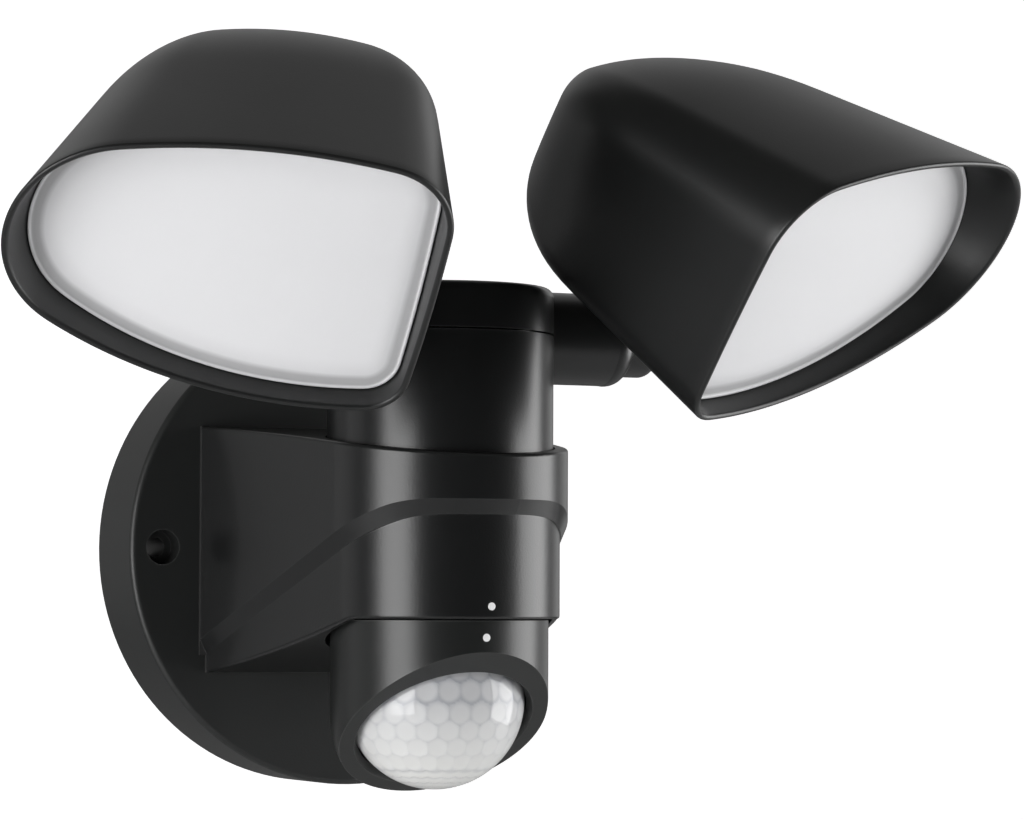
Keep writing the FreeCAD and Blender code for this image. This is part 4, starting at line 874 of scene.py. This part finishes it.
def boss_profile():
    """Up the bore, over the eased lower edge and back up the outside."""
    eased = [(BOSS_RADIUS - BOSS_EASE * (1 - math.sin(a)), BOSS_START + BOSS_EASE * (1 - math.cos(a)))
             for a in np.linspace(0, math.pi / 2, EASE_STEPS)]
    return [(BOSS_BORE, BOSS_END), (BOSS_BORE, BOSS_START)] + eased + [(BOSS_RADIUS, BOSS_END)]


for side in ("left", "right"):
    rings = lathe(boss_profile())
    boss = mesh_piece("hood_boss_" + side, np.concatenate(rings), closed_skin(rings),
                      neck_matrix(side), "head_" + side, FINISH["hood"])
print("boss", len(boss.data.polygons), "faces each")

# %% [markdown]
# ## Diffusers
# The opal plate follows the hood's inner wall. Its outermost line is a small raised bead that catches
# the light, then comes a border with painted shade, where light passes through it to the side, and
# then the bright middle. The mesh carries each point's distance from the edge as an attribute, which
# the material turns into that soft change of painted shade.

# %% Diffuser plates
DIFFUSER_DEPTH = 11.3
DIFFUSER_SLOPE = 0.14
DIFFUSER_THICK = 2.5
DIFFUSER_GAP = 0.25
SETTLING_ROUNDS = 4

# Distance from the edge and drop below the face in mm: the back, the edge, the bead, the border.
PLATE_PROFILE = [(BORDER_WIDTH, DIFFUSER_THICK), (0.05, DIFFUSER_THICK), (0.0, 2.4), (0.0, 0.35),
                 (0.08, 0.12), (0.25, 0.02), (0.45, 0.0), (0.65, 0.03), (0.85, 0.14), (1.05, 0.3),
                 (1.4, 0.34), (2.2, 0.34), (3.0, 0.30), (3.8, 0.22), (4.6, 0.12), (5.4, 0.05),
                 (6.4, 0.01), (BORDER_WIDTH, 0.0)]


def diffuser_ring(distance, drop):
    """Ring at a distance from the plate's edge and a drop below its face, on the sloping plane."""
    inset = HEAD_WALL + DIFFUSER_GAP + distance
    depth = np.full(len(SEEDS), DIFFUSER_DEPTH)
    for _ in range(SETTLING_ROUNDS):
        ring = hood_ring(depth, inset)
        depth = DIFFUSER_DEPTH + DIFFUSER_SLOPE * ring[:, 1] + drop
    return hood_ring(depth, inset)


def carry_number(piece, label, values):
    """Write one number for each point of a piece, for its material to read."""
    attribute = piece.data.attributes.new(label, "FLOAT", "POINT")
    attribute.data.foreach_set("value", np.array(values, dtype=np.float32))


for side in ("left", "right"):
    rings = [diffuser_ring(distance, drop) for distance, drop in PLATE_PROFILE]
    plate = mesh_piece("diffuser_plate_" + side, np.concatenate(rings), skin(rings), head_matrix(side),
                       "head_" + side, FINISH["opal"])
    carry_number(plate, "edge_mm", np.repeat([distance for distance, drop in PLATE_PROFILE],
                                             OUTLINE_POINTS))
    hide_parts("diffuser_" + side)
print("diffuser plates", len(plate.data.polygons), "faces each")

# %% [markdown]
# ## Dome lens
# The dome is a thin milky shell with a smooth outside. Its inside is cut into small lenses: rows of
# round cells packed like a honeycomb, and plain steps near the lowest point. Its opening slants, so
# the shell is built about the slanted axis of the opening.

# %% Where the dome sits
LENS_RADIUS = 23.0
LENS_WALL = 1.3
FACE_ANGLE = math.radians(38.0)
ROUND_CENTRE = Vector((0, -80.25, -42.5))
FACE_POINT = Vector((0, -80.25, -48.5))
LENS_BEHIND_FACE = 9.1

face_out = Vector((0, -math.sin(FACE_ANGLE), -math.cos(FACE_ANGLE)))
face_height = (FACE_POINT - ROUND_CENTRE).dot(face_out)
lens_centre = ROUND_CENTRE + face_out * (face_height - LENS_BEHIND_FACE)
print("dome centre", [round(c, 2) for c in lens_centre])

# %% [markdown]
# Whatever way the opening slants, the rows of cells run level round the upright axis, so a point is
# given by its latitude and longitude. Each row is shifted by half a cell against the next, and a point
# belongs to the cell whose middle is nearest. That distance gives both the bulge of the cell and the
# painted shade in the groove round it, which is darker below a cell's middle than above it, where
# light from above reaches less.

# %% Cells of the dome
# All in degrees, apart from the bulge in mm and the painted shades, which are shares.
CELL_ROWS = (19.5, 6.3, -8.0, -19.2, -30.6, -42.5)
CELLS_ROUND = 25
CELL_TURN = 6.0
CELL_REACH = 7.6
CELL_FLAT = 5.2
CELL_BULGE = 0.3
# Painted shade in the grooves, more below a cell's middle, and fading towards the lower rows.
PAINTED_GROOVE_SHADE = 0.55
PAINTED_SHADE_BELOW_CELL = 0.6
FADE_FROM = 5
FADE_SPAN = 70
FADE_LEAST = 0.4


def cell_marks(lat, lon):
    """Relief and painted groove shade (both 0 to 1) of the nearest cell."""
    pitch = 360.0 / CELLS_ROUND
    width = math.cos(math.radians(lat))
    nearest = []
    for index, row in enumerate(CELL_ROWS):
        shift = CELL_TURN + (pitch / 2 if index % 2 else 0.0)
        offset = (lon - shift + pitch / 2) % pitch - pitch / 2
        for extra in (-pitch, 0.0, pitch):
            nearest.append((math.hypot((offset + extra) * width, lat - row), row - lat))
    reach, drop = min(nearest)
    round_off = min(1.0, max(0.0, (reach - CELL_FLAT) / (CELL_REACH - CELL_FLAT)))
    below = max(0.0, drop / CELL_REACH)
    fade = min(1.0, max(FADE_LEAST, 1 + (lat - FADE_FROM) / FADE_SPAN))
    # Painted shade in the groove, darker below the cell's middle.
    tone = fade * round_off * (PAINTED_GROOVE_SHADE + PAINTED_SHADE_BELOW_CELL * below)
    return max(0.0, 1 - (reach / CELL_REACH) ** 2), min(1.0, tone)


print("cells", len(CELL_ROWS) * CELLS_ROUND, "of", round(360.0 / CELLS_ROUND, 1), "degrees")

# %% [markdown]
# Below the last row the dome closes in plain steps. Their edges hang in small scallops, because the
# lowest cells are cut off by them, and a thin line of painted shade runs along each edge.

# %% Steps near the lowest point
STEP_EDGES = (-49.5, -56.5, -64.0, -72.0, -80.0)
STEP_RISE = 0.5
STEP_FALL = 8.0
# Width in degrees and strength of the painted shade line along each step edge.
STEP_LINE = 2.6
PAINTED_STEP_SHADE = 0.5
SCALLOPS_ROUND = 22
SCALLOP = 1.8


def lens_marks(lat, lon):
    """Relief and painted groove shade of any point: steps near the lowest point, cells above them."""
    hang = SCALLOP * abs(math.sin(math.radians(lon) * SCALLOPS_ROUND / 2))
    if lat >= STEP_EDGES[0] - hang:
        return cell_marks(lat, lon)
    edges = [edge - hang for edge in STEP_EDGES]
    above = min(edge - lat for edge in edges if edge >= lat)
    relief = STEP_RISE * (1 - min(above / STEP_FALL, 1.0))
    # A thin line of painted shade along each step edge.
    return relief, max(0.0, 1 - above / STEP_LINE) * PAINTED_STEP_SHADE


print("steps", len(STEP_EDGES), "from", STEP_EDGES[0], "degrees down")

# %% [markdown]
# The shell's inside carries the cells as real bulges. On the outside, which is smooth on the real
# piece, they only shine through. So the mesh carries their relief, the painted shade of their grooves
# and how high a point lies, which sets the painted shade towards the upper rim, as numbers that the
# material reads. The outside needs fine rings for that, the inside fewer.

# %% Dome shell
DOME_RINGS = 84
DOME_POINTS = 300
DOME_INSIDE_STEP = 3
DOME_START = 0.5
DOME_END = 90.0
PAINTED_SHADE_FROM = -55.0
PAINTED_SHADE_TO = 15.0


def lens_grid(angles, base, bulge):
    """Rings about the dome's own axis, with relief, painted groove shade and height of each point."""
    across = Vector((1, 0, 0))
    third = face_out.cross(across)
    rings = []
    marks = []
    for angle in angles:
        ring = []
        for k in range(DOME_POINTS):
            turn = 2 * math.pi * k / DOME_POINTS
            way = (face_out * math.cos(angle)
                   + (across * math.cos(turn) + third * math.sin(turn)) * math.sin(angle))
            lat = math.degrees(math.asin(way.z))
            relief, painted_groove_shade = lens_marks(lat, math.degrees(math.atan2(way.x, -way.y)))
            # Share of the painted shade towards the upper rim: 0 low down, 1 high up.
            high = min(1.0, max(0.0, (lat - PAINTED_SHADE_FROM) / (PAINTED_SHADE_TO - PAINTED_SHADE_FROM)))
            ring.append(tuple(lens_centre + way * (base - bulge * relief)))
            marks.append((relief, painted_groove_shade, high))
        rings.append(ring)
    return rings, marks


outer_angles = np.radians(np.linspace(DOME_START, DOME_END, DOME_RINGS))
inner_angles = outer_angles[::-DOME_INSIDE_STEP]
outside, outside_marks = lens_grid(outer_angles, LENS_RADIUS, 0.0)
inside, inside_marks = lens_grid(inner_angles, LENS_RADIUS - LENS_WALL, CELL_BULGE)
rings = outside + inside
dome_piece = mesh_piece("dome_lens", np.concatenate(rings), skin(rings), Matrix.Scale(MM, 4), "sensor",
                        FINISH["lens"])
for label, values in zip(("relief", "painted_groove_shade", "height"), zip(*(outside_marks + inside_marks))):
    carry_number(dome_piece, label, values)
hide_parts("sensor_lens")
print("dome", len(dome_piece.data.polygons), "faces")
